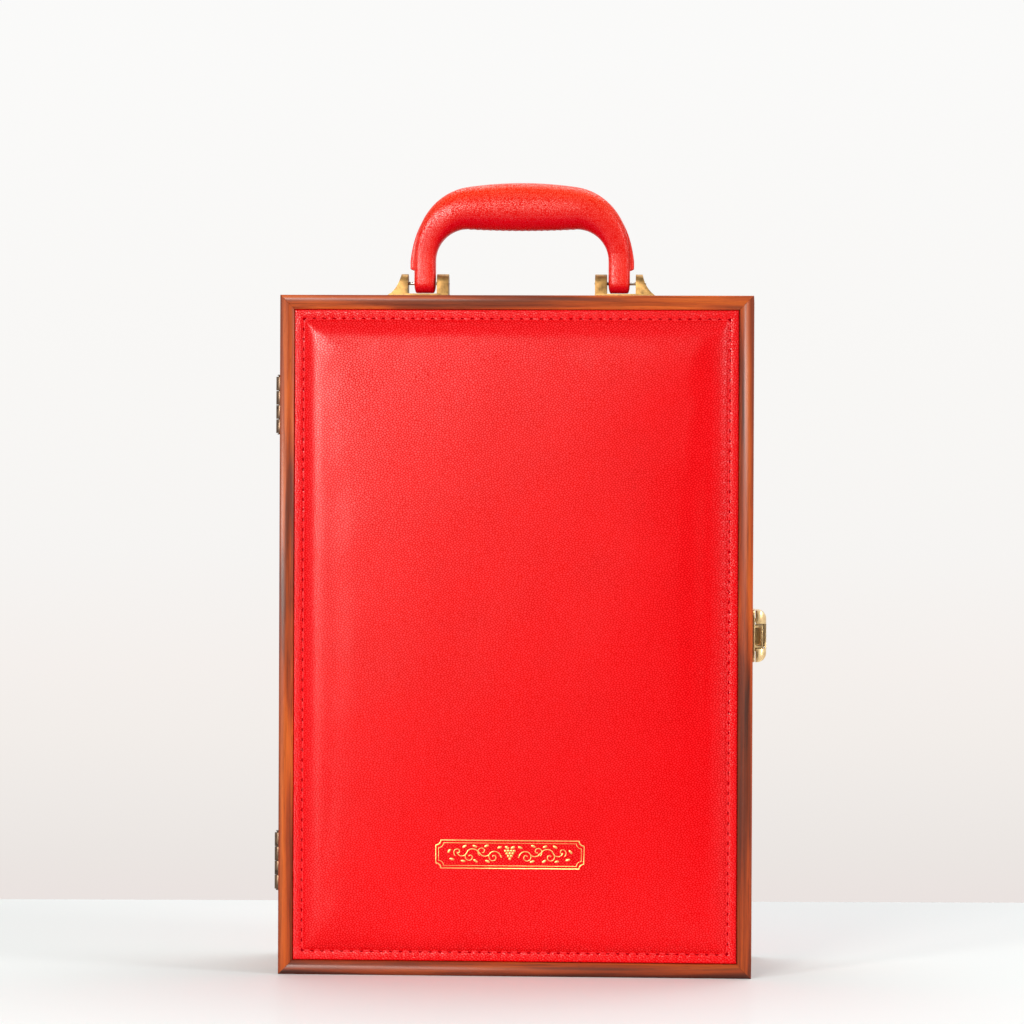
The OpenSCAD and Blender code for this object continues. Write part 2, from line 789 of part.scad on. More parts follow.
// The spine runs up the outside of one leg and dies away round its corner
module handle_spine(side) {
    fade_steps = 8;
    foot_steps = 2;
    foot_round = 2;
    rings = concat(
        [spine_ring(leg_out_x, spine_foot_z - foot_round / 2, 1, 0, -spine_sink / 2, side)],
        [for (i = [0 : foot_steps])
            spine_ring(leg_out_x, spine_foot_z + foot_round * i / foot_steps, 1, 0,
                spine_h * sin(90 * (i + 1) / (foot_steps + 1)), side)],
        [for (i = [0 : fade_steps])
            let (t = spine_fade * i / fade_steps, s = corner_station(t), a = 90 * t, left = 1 - i / fade_steps)
            spine_ring(s[2], s[3], cos(a), sin(a),
                spine_h * pow(left, spine_fall) - spine_sink * spine_end_sink * (1 - left), side)]
    );
    ring_solid(rings);
}

// Line of the steel bar, a leg and a quarter turn each side, as a flat outline
module core_outline(grow) {
    half = core_t / 2 + grow;
    for (side = [-1, 1]) {
        translate([side * leg_x - half, 0])
            square([2 * half, corner_z]);
        translate([side * corner_x, corner_z])
            intersection() {
                difference() {
                    circle(r = core_path_r + half, $fn = 2 * round_fn);
                    circle(r = core_path_r - half, $fn = 2 * round_fn);
                }
                translate([side > 0 ? 0 : -2 * core_path_r, 0])
                    square(2 * core_path_r);
            }
    }
    translate([-corner_x, corner_z + core_path_r - half])
        square([2 * corner_x, 2 * half]);
}

// Steel bar with its two eyes; grow widens it into the hollow that takes it
module core_bar(grow = 0) {
    rotate([90, 0, 0])
        linear_extrude(height = core_w + 2 * grow, center = true)
            core_outline(grow);
    for (side = [-1, 1])
        translate([side * leg_x, 0, 0])
            rotate([0, 90, 0])
                cylinder(r = core_eye_r + grow, h = core_eye_l + 2 * grow, center = true, $fn = round_fn);
}

module pin_bore(r) {
    rotate([0, 90, 0])
        cylinder(r = r, h = 2 * (leg_out_x + over), center = true, $fn = round_fn);
}

module handle_core() {
    color(steel_c)
        translate([0, 0, handle_z])
            difference() {
                core_bar();
                pin_bore(handle_pin_r + pin_fit);
            }
}

module handle_cover() {
    color(leather_c)
        translate([0, 0, handle_z])
            difference() {
                union() {
                    handle_body();
                    for (side = [-1, 1])
                        handle_spine(side);
                }
                core_bar(pin_fit);
                pin_bore(handle_pin_r + run_gap);
            }
}

// ---------------------------------------------------------------- handle brackets

// Front view of the right bracket: base, inner ear, outer ear and its swept foot
module bracket_front() {
    translate([plate_x0, 0])
        square([foot_x1 - plate_x0, foot_tip_t]);
    translate([plate_x0, 0])
        square([gap_x1 - plate_x0 + eps, bracket_base_t]);
    translate([plate_x0, 0])
        square([inner_ear_t, ear_h]);
    difference() {
        translate([gap_x1, 0])
            square([foot_x1 - gap_x1, ear_h]);
        translate([sweep_x, sweep_z])
            circle(r = foot_sweep_r, $fn = 2 * round_fn);
        translate([sweep_x, foot_tip_t])
            square([foot_sweep_r, ear_h]);
    }
}

// Side view of a bracket: wide base, ears that narrow to a round top about the pin
module bracket_side() {
    translate([-bracket_base_d / 2, 0])
        square([bracket_base_d, bracket_base_t]);
    translate([-ear_r, 0])
        square([2 * ear_r, pin_rise]);
    translate([0, pin_rise])
        circle(r = ear_r, $fn = round_fn);
}

module handle_bracket(side) {
    color(brass_c)
        difference() {
            translate([0, 0, box_h])
                mirror([side > 0 ? 0 : 1, 0, 0])
                    difference() {
                        intersection() {
                            rotate([90, 0, 0])
                                linear_extrude(height = bracket_base_d, center = true)
                                    bracket_front();
                            rotate([90, 0, 90])
                                linear_extrude(height = foot_x1 + over)
                                    bracket_side();
                        }
                        translate([plate_x0 - over, 0, pin_rise])
                            rotate([0, 90, 0])
                                cylinder(r = handle_pin_r + pin_fit, h = foot_x1 - plate_x0, $fn = round_fn);
                    }
            bracket_screw_set(pin_fit);
        }
}

module left_handle_bracket() handle_bracket(-1);

module right_handle_bracket() handle_bracket(1);

// Pin through both ears, with chamfered ends just proud of them
module handle_pin(side) {
    start = plate_x0 - pin_tip;
    length = handle_pin_x1 - start + pin_tip;
    color(steel_c)
        translate([0, 0, handle_z])
            mirror([side > 0 ? 0 : 1, 0, 0])
                translate([start, 0, 0])
                    rotate([0, 90, 0]) {
                        cylinder(r1 = handle_pin_r / 2, r2 = handle_pin_r, h = pin_tip, $fn = round_fn);
                        translate([0, 0, pin_tip])
                            cylinder(r = handle_pin_r, h = length - 2 * pin_tip, $fn = round_fn);
                        translate([0, 0, length - pin_tip])
                            cylinder(r1 = handle_pin_r, r2 = handle_pin_r / 2, h = pin_tip, $fn = round_fn);
                    }
}

module left_handle_pin() handle_pin(-1);

module right_handle_pin() handle_pin(1);

// ---------------------------------------------------------------- catch

// Puts a piece of the catch on the side wall at the joint, at mid height
module on_catch() {
    translate([catch_x, joint_y, mid_z])
        children();
}

// Wall plate of the catch between two depths, with rounded outer corners
module wall_plate(y0, y1, outer_end) {
    rotate([0, 90, 0])
        linear_extrude(height = catch_plate_t)
            difference() {
                translate([-catch_h / 2, y0])
                    square([catch_h, y1 - y0]);
                for (end = [-1, 1])
                    translate([end * (catch_h / 2 - plate_corner_r),
                               outer_end > 0 ? y1 - plate_corner_r : y0 + plate_corner_r])
                        corner_cut(end, outer_end, plate_corner_r);
            }
}

module latch_plate() {
    color(gold_c)
        difference() {
            on_catch() {
                wall_plate(shell_gap / 2, catch_plate_l, 1);
                for (end = [-1, 1])
                    translate([0, lever_pin_back, end > 0 ? plate_ear_z : -plate_ear_z - catch_ear_t]) {
                        translate([lever_pin_rise, 0, 0])
                            cylinder(r = catch_ear_r, h = catch_ear_t, $fn = round_fn);
                        translate([0, -catch_ear_r, 0])
                            cube([lever_pin_rise, 2 * catch_ear_r, catch_ear_t]);
                    }
            }
            latch_screw_set(pin_fit);
            on_catch()
                lever_pin_line(catch_pin_r + pin_fit, catch_h);
        }
}

module lever_pin_line(r, length) {
    translate([lever_pin_rise, lever_pin_back, 0])
        cylinder(r = r, h = length, center = true, $fn = round_fn);
}

module latch_pin() {
    color(gold_c)
        on_catch()
            lever_pin_line(catch_pin_r, 2 * (plate_ear_z + catch_ear_t + run_gap / 2));
}

// Plan of the lever's cover from its barrel to its rounded nose, shrunk by in
module lever_plan(in) {
    r = lobe_r - in;
    crown = lever_crown - in;
    nose = nose_y + in;
    translate([lever_foot - over * sign(in), nose + r])
        square([crown - lever_foot + over * sign(in), lever_pin_back - nose - r]);
    intersection() {
        union() {
            translate([crown - r, nose + r])
                circle(r = r, $fn = round_fn);
            translate([lever_foot - over * sign(in), nose])
                square([crown - r - lever_foot + over * sign(in), r + eps]);
        }
        translate([lever_foot - over * sign(in), nose])
            square([crown - lever_foot + over * sign(in), r + eps]);
    }
}

// Front view of the cover: a bar with two rounded outer corners, shrunk by in
module lever_front(in) {
    r = lobe_r - in;
    crown = lever_crown - in;
    half = catch_h / 2 - in;
    translate([-half, 0])
        square([2 * half, crown - r]);
    translate([r - half, 0])
        square([2 * (half - r), crown]);
    for (end = [-1, 1])
        translate([end * (half - r), crown - r])
            circle(r = r, $fn = round_fn);
}

// Solid of the cover that is domed both along and across, shrunk by in to hollow it
module lever_form(in) {
    intersection() {
        translate([0, 0, -catch_h / 2])
            linear_extrude(height = catch_h)
                lever_plan(in);
        rotate([-90, -90, 0])
            linear_extrude(height = 2 * catch_h, center = true)
                lever_front(in);
    }
}

// Over-cover lever: hollow domed cover, open in the middle of its nose, with a barrel on the pin
module latch_lever() {
    barrel_half = plate_ear_z - run_gap;
    color(gold_c)
        on_catch()
            difference() {
                union() {
                    difference() {
                        lever_form(0);
                        lever_form(lever_wall);
                    }
                    translate([lever_pin_rise, lever_pin_back, -barrel_half])
                        cylinder(r = barrel_r, h = 2 * barrel_half, $fn = round_fn);
                    translate([lever_pin_rise, lever_pin_back - barrel_r, -barrel_half])
                        cube([lever_crown - lever_wall - lever_pin_rise + eps, barrel_r, 2 * barrel_half]);
                }
                lever_pin_line(catch_pin_r + pin_fit, catch_h);
                translate([-over, nose_y - over, -lever_mouth_h / 2])
                    cube([lever_crown - lever_wall + over, -mouth_stop - nose_y, lever_mouth_h]);
                translate([-over, nose_y - over, -lever_mouth_h / 2])
                    cube([lever_crown + 2 * over, lobe_crown_end - nose_y + over, lever_mouth_h]);
            }
}

// Keeper on the lid: plate with a raised tunnel, closed at its back, that the lever covers
module latch_keeper() {
    tunnel_y0 = keeper_screw_y - tunnel_l / 2;
    color(gold_c)
        difference() {
            on_catch()
                difference() {
                    union() {
                        wall_plate(-keeper_l, -shell_gap / 2, -1);
                        translate([0, tunnel_y0, -tunnel_h / 2])
                            cube([tunnel_crown, tunnel_l, tunnel_h]);
                    }
                    translate([catch_plate_t, tunnel_y0 - over, tunnel_wall - tunnel_h / 2])
                        cube([tunnel_crown - catch_plate_t - tunnel_wall, tunnel_l + over - tunnel_wall,
                              tunnel_h - 2 * tunnel_wall]);
                }
            keeper_screw_set(pin_fit);
        }
}

// ---------------------------------------------------------------- drawing

lid_top_rail();
lid_bottom_rail();
lid_hinge_rail();
lid_latch_rail();
lid_panel_board();
lid_panel_pad();
lid_panel_leather();
lid_wall_lining();
lid_lining_pad();
base_top_rail();
base_bottom_rail();
base_hinge_rail();
base_latch_rail();
back_panel_board();
back_panel_pad();
back_panel_leather();
base_wall_lining();
bottle_tray();
upper_hinge_base_leaf();
upper_hinge_lid_leaf();
upper_hinge_pin();
lower_hinge_base_leaf();
lower_hinge_lid_leaf();
lower_hinge_pin();
hinge_base_screws();
hinge_lid_screws();
handle_cover();
handle_core();
left_handle_bracket();
right_handle_bracket();
left_handle_pin();
right_handle_pin();
handle_bracket_screws();
latch_plate();
latch_pin();
latch_lever();
latch_screws();
latch_keeper();
keeper_screws();
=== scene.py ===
import json
import math

import bmesh
import bpy
from mathutils import Matrix, Vector, noise
from mathutils.bvhtree import BVHTree

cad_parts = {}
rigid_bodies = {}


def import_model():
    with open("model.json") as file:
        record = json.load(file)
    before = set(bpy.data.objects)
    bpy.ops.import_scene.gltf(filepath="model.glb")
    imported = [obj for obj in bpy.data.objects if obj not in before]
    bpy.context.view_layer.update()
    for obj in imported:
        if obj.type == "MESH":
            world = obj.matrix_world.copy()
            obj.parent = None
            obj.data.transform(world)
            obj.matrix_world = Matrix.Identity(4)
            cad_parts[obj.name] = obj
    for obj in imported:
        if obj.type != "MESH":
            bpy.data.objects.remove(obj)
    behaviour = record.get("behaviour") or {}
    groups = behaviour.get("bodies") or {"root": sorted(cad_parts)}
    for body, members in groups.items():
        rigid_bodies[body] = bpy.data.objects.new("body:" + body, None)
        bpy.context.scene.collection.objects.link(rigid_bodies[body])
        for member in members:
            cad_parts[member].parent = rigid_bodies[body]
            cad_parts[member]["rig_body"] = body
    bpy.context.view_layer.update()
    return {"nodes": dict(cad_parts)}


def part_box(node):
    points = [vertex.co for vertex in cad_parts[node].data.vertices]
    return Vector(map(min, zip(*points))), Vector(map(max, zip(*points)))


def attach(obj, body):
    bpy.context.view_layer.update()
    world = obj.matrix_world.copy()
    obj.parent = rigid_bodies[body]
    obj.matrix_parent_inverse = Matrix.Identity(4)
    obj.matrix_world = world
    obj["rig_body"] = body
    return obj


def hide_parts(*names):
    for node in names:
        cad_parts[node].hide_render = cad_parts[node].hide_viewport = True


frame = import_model()
MM = 0.001  # the case's own sizes are written in millimetres, the room's in metres

# ------------------------------------------------------------------ camera, table and lamps
# A long lens looks at the front in line with its right edge and level with its upper half, so
# that neither the sides nor the top can be seen.
eye = (0.128, -2.4, 0.2679)
pan, tilt, roll = 3.169, -0.628, 0.241  # in degrees
scene = bpy.context.scene
scene.view_settings.view_transform = "Standard"
lens = bpy.data.cameras.new("camera")
lens.sensor_width = 36
lens.lens = 158.65
camera = bpy.data.objects.new("camera", lens)
camera.matrix_world = (
    Matrix.Translation(eye)
    @ Matrix.Rotation(math.radians(pan), 4, "Z")
    @ Matrix.Rotation(math.radians(90 + tilt), 4, "X")
    @ Matrix.Rotation(math.radians(roll), 4, "Z")
)
scene.collection.objects.link(camera)
scene.camera = camera


def add(tree, kind, sockets=None, **settings):
    """Adds a node: a socket's value is linked if it is another node's output, and set if not."""
    made = tree.nodes.new(kind)
    for key, value in settings.items():
        setattr(made, key, value)
    for key, value in (sockets or {}).items():
        if isinstance(value, bpy.types.NodeSocket):
            tree.links.new(value, made.inputs[key])
        else:
            made.inputs[key].default_value = value
    return made


def calc(tree, operation, *values):
    """Result of one operation on numbers and other nodes' outputs."""
    return add(tree, "ShaderNodeMath", dict(enumerate(values)), operation=operation).outputs[0]


def remap(tree, value, start, end, low=0.0, high=1.0, smooth=False):
    """Runs from low to high as value goes from start to end, and stays there beyond them."""
    return add(tree, "ShaderNodeMapRange",
               {"Value": value, "From Min": start, "From Max": end, "To Min": low, "To Max": high},
               interpolation_type="SMOOTHSTEP" if smooth else "LINEAR").outputs[0]


def ramp(tree, factor, stops):
    """Colour output of a ramp through (position, colour) stops."""
    made = add(tree, "ShaderNodeValToRGB", {"Fac": factor})
    band = made.color_ramp.elements
    while len(band) < len(stops):
        band.new(0.5)
    for element, (position, colour) in zip(band, stops):
        element.position = position
        element.color = (*colour, 1)
    return made.outputs["Color"]


# The wall is far away and falls off from nearly white at the top to a warm pale grey at the
# height of the table, a painted shade on the backdrop; all other rays get an even white light.
wall_foot, wall_top = -0.095, 0.09  # rise of the lines of sight to them
world = bpy.data.worlds.new("studio")
scene.world = world
world.use_nodes = True
sky = world.node_tree
sky.nodes.clear()
direction = add(sky, "ShaderNodeTexCoord").outputs["Generated"]
rise = add(sky, "ShaderNodeSeparateXYZ", {"Vector": direction}).outputs["Z"]
wall = ramp(sky, remap(sky, rise, wall_foot, wall_top), [
    (0, (0.827, 0.768, 0.745)), (0.05, (0.835, 0.791, 0.764)), (0.12, (0.863, 0.823, 0.795)),
    (0.19, (0.892, 0.851, 0.819)), (0.27, (0.913, 0.871, 0.843)), (0.41, (0.926, 0.909, 0.892)),
    (0.55, (0.939, 0.926, 0.909)), (1.0, (0.96, 0.956, 0.947)),
])
path = add(sky, "ShaderNodeLightPath").outputs
seen = calc(sky, "MAXIMUM", path["Is Camera Ray"], path["Is Glossy Ray"])
seen = calc(sky, "MAXIMUM", seen, path["Is Transmission Ray"])
ambient = add(sky, "ShaderNodeBackground", {"Color": (0.97, 0.99, 1, 1), "Strength": 0.355})
backdrop = add(sky, "ShaderNodeBackground", {"Color": wall, "Strength": 1.0})
mixed = add(sky, "ShaderNodeMixShader", {0: seen, 1: ambient.outputs[0], 2: backdrop.outputs[0]})
add(sky, "ShaderNodeOutputWorld", {"Surface": mixed.outputs[0]})


def turn_about(bm, degrees, axis, verts):
    """Turns points about an axis through the origin."""
    turn = Matrix.Rotation(math.radians(degrees), 3, axis)
    bmesh.ops.rotate(bm, cent=(0, 0, 0), matrix=turn, verts=verts)


def make_object(name, bm, material, smooth=True):
    """Puts a finished bmesh into the scene as an object of one material."""
    if smooth:
        for face in bm.faces:
            face.smooth = True
    mesh = bpy.data.meshes.new(name)
    bm.to_mesh(mesh)
    bm.free()
    mesh.materials.append(material)
    made = bpy.data.objects.new(name, mesh)
    scene.collection.objects.link(made)
    return made


def bare_finish(name):
    """New material with an empty node tree."""
    material = bpy.data.materials.new(name)
    material.use_nodes = True
    material.node_tree.nodes.clear()
    return material, material.node_tree


# White lacquered table: a slab whose far edge shows a hand's breadth behind the case.
table_w, table_back, table_thick = 1.8, 0.354, 0.03
table_turn = 3.6  # in degrees
lacquer, tree = bare_finish("white_lacquer")
matt = add(tree, "ShaderNodeBsdfDiffuse", {"Color": (0.89, 0.935, 0.945, 1)})
gloss = add(tree, "ShaderNodeBsdfGlossy", {"Color": (1, 1, 1, 1), "Roughness": 0.12})
both = add(tree, "ShaderNodeMixShader", {0: 0.035, 1: matt.outputs[0], 2: gloss.outputs[0]})
add(tree, "ShaderNodeOutputMaterial", {"Surface": both.outputs[0]})
bm = bmesh.new()
bmesh.ops.create_cube(bm, size=1)
bmesh.ops.scale(bm, vec=(table_w, 2 * table_back, table_thick), verts=bm.verts)
bmesh.ops.translate(bm, vec=(0, 0, -table_thick / 2), verts=bm.verts)
bmesh.ops.bevel(bm, geom=bm.edges[:], offset=0.002, segments=3, profile=0.5, affect="EDGES", material=-1)
turn_about(bm, table_turn, "Z", bm.verts)
table = make_object("table", bm, lacquer, smooth=False)


def softbox(name, place, aim, size, watts, tint=(1, 1, 1)):
    """Rectangular lamp at place, turned towards aim."""
    light = bpy.data.lights.new(name, "AREA")
    light.shape = "RECTANGLE"
    light.size, light.size_y = size
    light.energy = watts
    light.color = tint
    lamp = bpy.data.objects.new(name, light)
    turn = (Vector(aim) - Vector(place)).to_track_quat("-Z", "Y").to_matrix().to_4x4()
    lamp.matrix_world = Matrix.Translation(place) @ turn
    scene.collection.objects.link(lamp)
    return lamp


softbox("key_softbox", (-0.45, -1.75, 0.57), (0, 0, 0.25), (0.4, 0.4), 11.7, (1, 0.95, 0.87))
softbox("left_softbox", (-1.15, -1.65, 0.58), (0, 0, 0.25), (0.3, 0.3), 14, (1, 0.95, 0.88))
softbox("side_softbox", (1.45, -0.70, 0.75), (0, 0, 0.15), (0.4, 0.8), 8)
softbox("top_softbox", (0.12, 0.70, 1.95), (0, 0, 0.2), (1.6, 1.4), 24, (1, 0.97, 0.94))

# A mirror card on the left only adds sheen to leather, lacquer and metal.
glint = softbox("mirror_card", (-1.05, -1.65, 0.66), (0, 0, 0.25), (0.8, 0.4), 24, (1, 0.96, 0.92))
glint.visible_diffuse = False

# A black cloth behind the camera keeps the middle of polished and lacquered fronts deep.
cloth_w, cloth_h, cloth_place = 2.6, 2.2, (-0.1, -3.3, 0.15)
black_cloth, tree = bare_finish("black_cloth")
matt = add(tree, "ShaderNodeBsdfDiffuse", {"Color": (0.02, 0.02, 0.02, 1)})
add(tree, "ShaderNodeOutputMaterial", {"Surface": matt.outputs[0]})
bm = bmesh.new()
bmesh.ops.create_grid(bm, x_segments=1, y_segments=1, size=0.5)
bmesh.ops.scale(bm, vec=(cloth_w, cloth_h, 1), verts=bm.verts)
turn_about(bm, 90, "X", bm.verts)
bmesh.ops.translate(bm, vec=cloth_place, verts=bm.verts)
card = make_object("dark_card", bm, black_cloth, smooth=False)
card.visible_camera = False

# ------------------------------------------------------------------ wooden shells
# Eight mitred hardwood rails, four to each shell, with an arched moulding on the face. They are
# stained orange-brown, show long dark streaks and are clear lacquered, and their arrises are eased.
# Their outer arrises carry painted shade, and painted light on the two catch-side rails.
# The case's size is taken over its rails, without handle and fittings.
front_corner, back_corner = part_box("lid_top_rail")[0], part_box("base_top_rail")[1]
case_w = round((back_corner.x - front_corner.x) / MM, 1)
case_d = round((back_corner.y - front_corner.y) / MM, 1)
case_h = round(back_corner.z / MM, 1)
mid_z = case_h / 2
moulding_rise = 1.5  # from the outer arris to the top of the arch
edge_shading_from, edge_shading_to = 0.3, 2.6  # where the painted shading at an arris starts to fade, and where it ends


def finish(name, values):
    """New material with these constant values on its shader."""
    material = bpy.data.materials.new(name)
    material.use_nodes = True
    shader = material.node_tree.nodes["Principled BSDF"]
    for socket, value in values.items():
        shader.inputs[socket].default_value = value
    return material, material.node_tree, shader


def on_piece(tree):
    """Point of the piece that is shaded, in metres."""
    return add(tree, "ShaderNodeTexCoord").outputs["Object"]


def mottle(tree, place, scale, detail, distortion=0.0):
    """Soft noise from 0 to 1, scale times to a metre."""
    return add(tree, "ShaderNodeTexNoise", {"Vector": place, "Scale": scale, "Detail": detail,
                                            "Distortion": distortion}).outputs["Fac"]


def stained(tree, base, tint, share=1.0):
    """Base colour multiplied by a tint."""
    return add(tree, "ShaderNodeMix", {0: share, 6: base, 7: tint}, data_type="RGBA",
               blend_type="MULTIPLY").outputs[2]


def inside(tree, half, value):
    """How far a value lies within half, in mm, on either side of zero."""
    return calc(tree, "SUBTRACT", half * MM, calc(tree, "ABSOLUTE", value))


def bump(tree, shader, height, strength, distance):
    """Relief on a shader from a height field, distance in mm for a height of 1."""
    made = add(tree, "ShaderNodeBump", {"Height": height, "Strength": strength, "Distance": distance * MM})
    tree.links.new(made.outputs["Normal"], shader.inputs["Normal"])


def timber(name, along, shift, stain, tone, painted_edge_shading):
    """Straight-grained wood whose grain runs along X or Z; stain from 0, pale, to 1, dark, says how
    wide its dark streaks are, tone dims it as a whole, and the last factor tints the edge between a
    moulding and the case's outer wall with painted shade below 1 and painted light above 1."""
    material, tree, shader = finish(name, {"Roughness": 0.45, "Coat Weight": 0.15, "Coat Roughness": 0.22,
                                           "Specular IOR Level": 0.2})
    place = on_piece(tree)

    def grain(run, scale, detail, distortion=0.0):
        squeeze = (1 / run, 1, 1) if along == "X" else (1, 1, 1 / run)
        drawn = add(tree, "ShaderNodeMapping", {"Vector": place, "Location": shift, "Scale": squeeze})
        return mottle(tree, drawn.outputs[0], scale, detail, distortion)

    dark = 0.06 * stain
    bands = ramp(tree, grain(22, 170, 4, 0.5), [
        (0.28 + dark, (0.10, 0.030, 0.016)), (0.40 + dark, (0.27, 0.050, 0.013)),
        (0.50 + dark, (0.52, 0.090, 0.015)), (0.72, (0.86, 0.190, 0.022)),
    ])
    streaks = ramp(tree, grain(40, 900, 3, 0.2), [
        (0.34, (0.68 * tone, 0.60 * tone, 0.58 * tone)), (0.50, (tone, tone ** 1.3, tone ** 1.3)),
    ])
    pores = grain(30, 3800, 2)
    dots = ramp(tree, pores, [(0.28, (0.4, 0.35, 0.33)), (0.38, (1, 1, 1))])
    wood = stained(tree, stained(tree, bands, streaks), dots, 0.7)
    x, y, z = add(tree, "ShaderNodeSeparateXYZ", {"Vector": place}).outputs
    height = calc(tree, "SUBTRACT", z, mid_z * MM)
    inset = calc(tree, "MINIMUM", inside(tree, case_w / 2, x), inside(tree, mid_z, height))
    depth = inside(tree, case_d / 2 - moulding_rise, y)
    away = remap(tree, calc(tree, "MAXIMUM", inset, depth), edge_shading_from * MM, edge_shading_to * MM)
    # Painted shade along the outer arris where the factor is below 1, painted light where it is above 1.
    edge_shading_tint = ramp(tree, away, [(0.0, (painted_edge_shading, 0.92 * painted_edge_shading, 0.97 * painted_edge_shading)), (1.0, (1, 1, 1))])
    tree.links.new(stained(tree, wood, edge_shading_tint), shader.inputs["Base Color"])
    bump(tree, shader, pores, 0.12, 0.2)
    return material


def merged(node):
    """Bmesh of a CAD node with its corners merged."""
    bm = bmesh.new()
    bm.from_mesh(frame["nodes"][node].data)
    bmesh.ops.remove_doubles(bm, verts=bm.verts, dist=1e-6)
    return bm


def eased(node, ease, material, steps=2, angle=35):
    """Copy of a CAD node with arrises eased by ease, in mm, in its place and on its body."""
    bm = merged(node)
    bmesh.ops.dissolve_limit(bm, angle_limit=math.radians(0.5), verts=bm.verts, edges=bm.edges)
    piece = make_object(node + "_finished", bm, material)
    rounding = piece.modifiers.new("eased", "BEVEL")
    rounding.width = ease * MM
    rounding.segments = steps
    rounding.limit_method = "ANGLE"
    rounding.angle_limit = math.radians(angle)
    rounding.harden_normals = True
    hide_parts(node)
    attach(piece, frame["nodes"][node]["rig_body"])


# Each rail with the run of its grain, where in the plank it was cut, stain, tone and its edge factor:
# painted shade at the outer arris below 1, painted light above 1.
rails = [
    ("lid_top_rail", "X", (0.11, 0.02, 0.05), 0.5, 0.93, 0.9),
    ("lid_bottom_rail", "X", (0.43, 0.07, 0.13), 0.95, 0.60, 0.5),
    ("lid_hinge_rail", "Z", (0.29, 0.03, 0.21), 0.5, 0.86, 0.55),
    ("lid_latch_rail", "Z", (0.17, 0.09, 0.37), 0.9, 0.75, 1.2),
    ("base_top_rail", "X", (0.51, 0.11, 0.05), 0.5, 0.95, 0.9),
    ("base_bottom_rail", "X", (0.63, 0.17, 0.13), 0.6, 0.8, 0.6),
    ("base_hinge_rail", "Z", (0.79, 0.13, 0.21), 0.5, 0.95, 0.6),
    ("base_latch_rail", "Z", (0.87, 0.19, 0.37), 0.5, 0.85, 1.1),
]
for node, along, shift, stain, tone, painted_edge_shading in rails:
    eased(node, 0.25, timber(node + "_wood", along, shift, stain, tone, painted_edge_shading))

# ------------------------------------------------------------------ panel boards
# Each shell is closed by a thin board of pressed brown fibre, let into the rabbet of its rails.
# Foam and leather hide it outside, and velvet or the tray inside.


def colour_by(tree, shader, field, stops):
    """Gives a shader its base colour from a ramp over a field."""
    tree.links.new(ramp(tree, field, stops), shader.inputs["Base Color"])


fibre, tree, shader = finish("fibreboard", {"Roughness": 0.85})
specks = mottle(tree, on_piece(tree), 900, 4)
colour_by(tree, shader, specks, [(0.3, (0.30, 0.20, 0.11)), (0.7, (0.52, 0.38, 0.24))])
for node in ("lid_panel_board", "back_panel_board"):
    board = frame["nodes"][node].data
    board.materials.clear()
    board.materials.append(fibre)

# ------------------------------------------------------------------ foam pillows
# The moulded foam under each leather, glued to the front of its board and a little smaller than
# the skin round it. It can't be seen unless a panel is taken apart.
board_plane = round(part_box("lid_panel_board")[0].y / MM, 1)  # the back board's mirrors it
foam_sink = 0.4  # how far the leather presses it down

foam, tree, shader = finish("foam", {"Roughness": 0.95})
cells = add(tree, "ShaderNodeTexVoronoi", {"Vector": on_piece(tree), "Scale": 1600}).outputs["Distance"]
colour_by(tree, shader, cells, [(0.1, (0.55, 0.50, 0.38)), (0.6, (0.86, 0.82, 0.70))])
bump(tree, shader, cells, 0.4, 0.3)

for node, facing, body in (("lid_panel_pad", -1, "lid"), ("back_panel_pad", 1, "base")):
    bm = merged(node)
    top = [v for v in bm.verts if abs(v.co.y) > (abs(board_plane) + 0.3) * MM]
    bmesh.ops.translate(bm, vec=(0, -facing * foam_sink * MM, 0), verts=top)
    for face in bm.faces:
        face.smooth = abs(face.normal.y) < 0.999
    piece = make_object(node + "_foam", bm, foam, smooth=False)
    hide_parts(node)
    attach(piece, body)

# ------------------------------------------------------------------ leather panels
# A skin of red pebbled leather is drawn over foam and board, turned down round the board's edges
# and sewn down in a shallow groove, so that the middle stands up as a pillow inside a flat margin.
skin = 1.2
skin_slack = 0.2  # the drawn skin stands this far outside the CAD's on each side
skin_low, skin_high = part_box("lid_panel_leather")
panel_w = round((skin_high.x - skin_low.x) / MM + 2 * skin_slack, 1)
panel_h = round((skin_high.z - skin_low.z) / MM + 2 * skin_slack, 1)
edge_r, turned_down = 0.9, 3.2
sewn_at = 5.2
seam_half_w, seam_half_h = panel_w / 2 - sewn_at, panel_h / 2 - sewn_at
stitch_pitch = 5.2
groove_d, groove_half, groove_slope = 0.25, 1.5, 0.8
fold_h, fold_near, fold_far = 0.04, 0.5, 8.0  # the small folds, and where they fade
slack_run = 2.5  # the margin's slack is drawn tight over this length
shoulder, fullness, corner_power = 13.0, 2.3, 4
crown_run = 45.0
dimple, dimple_run = 0.16, 26
leather_swell = 0.5  # how far the cloth run may lift the skin


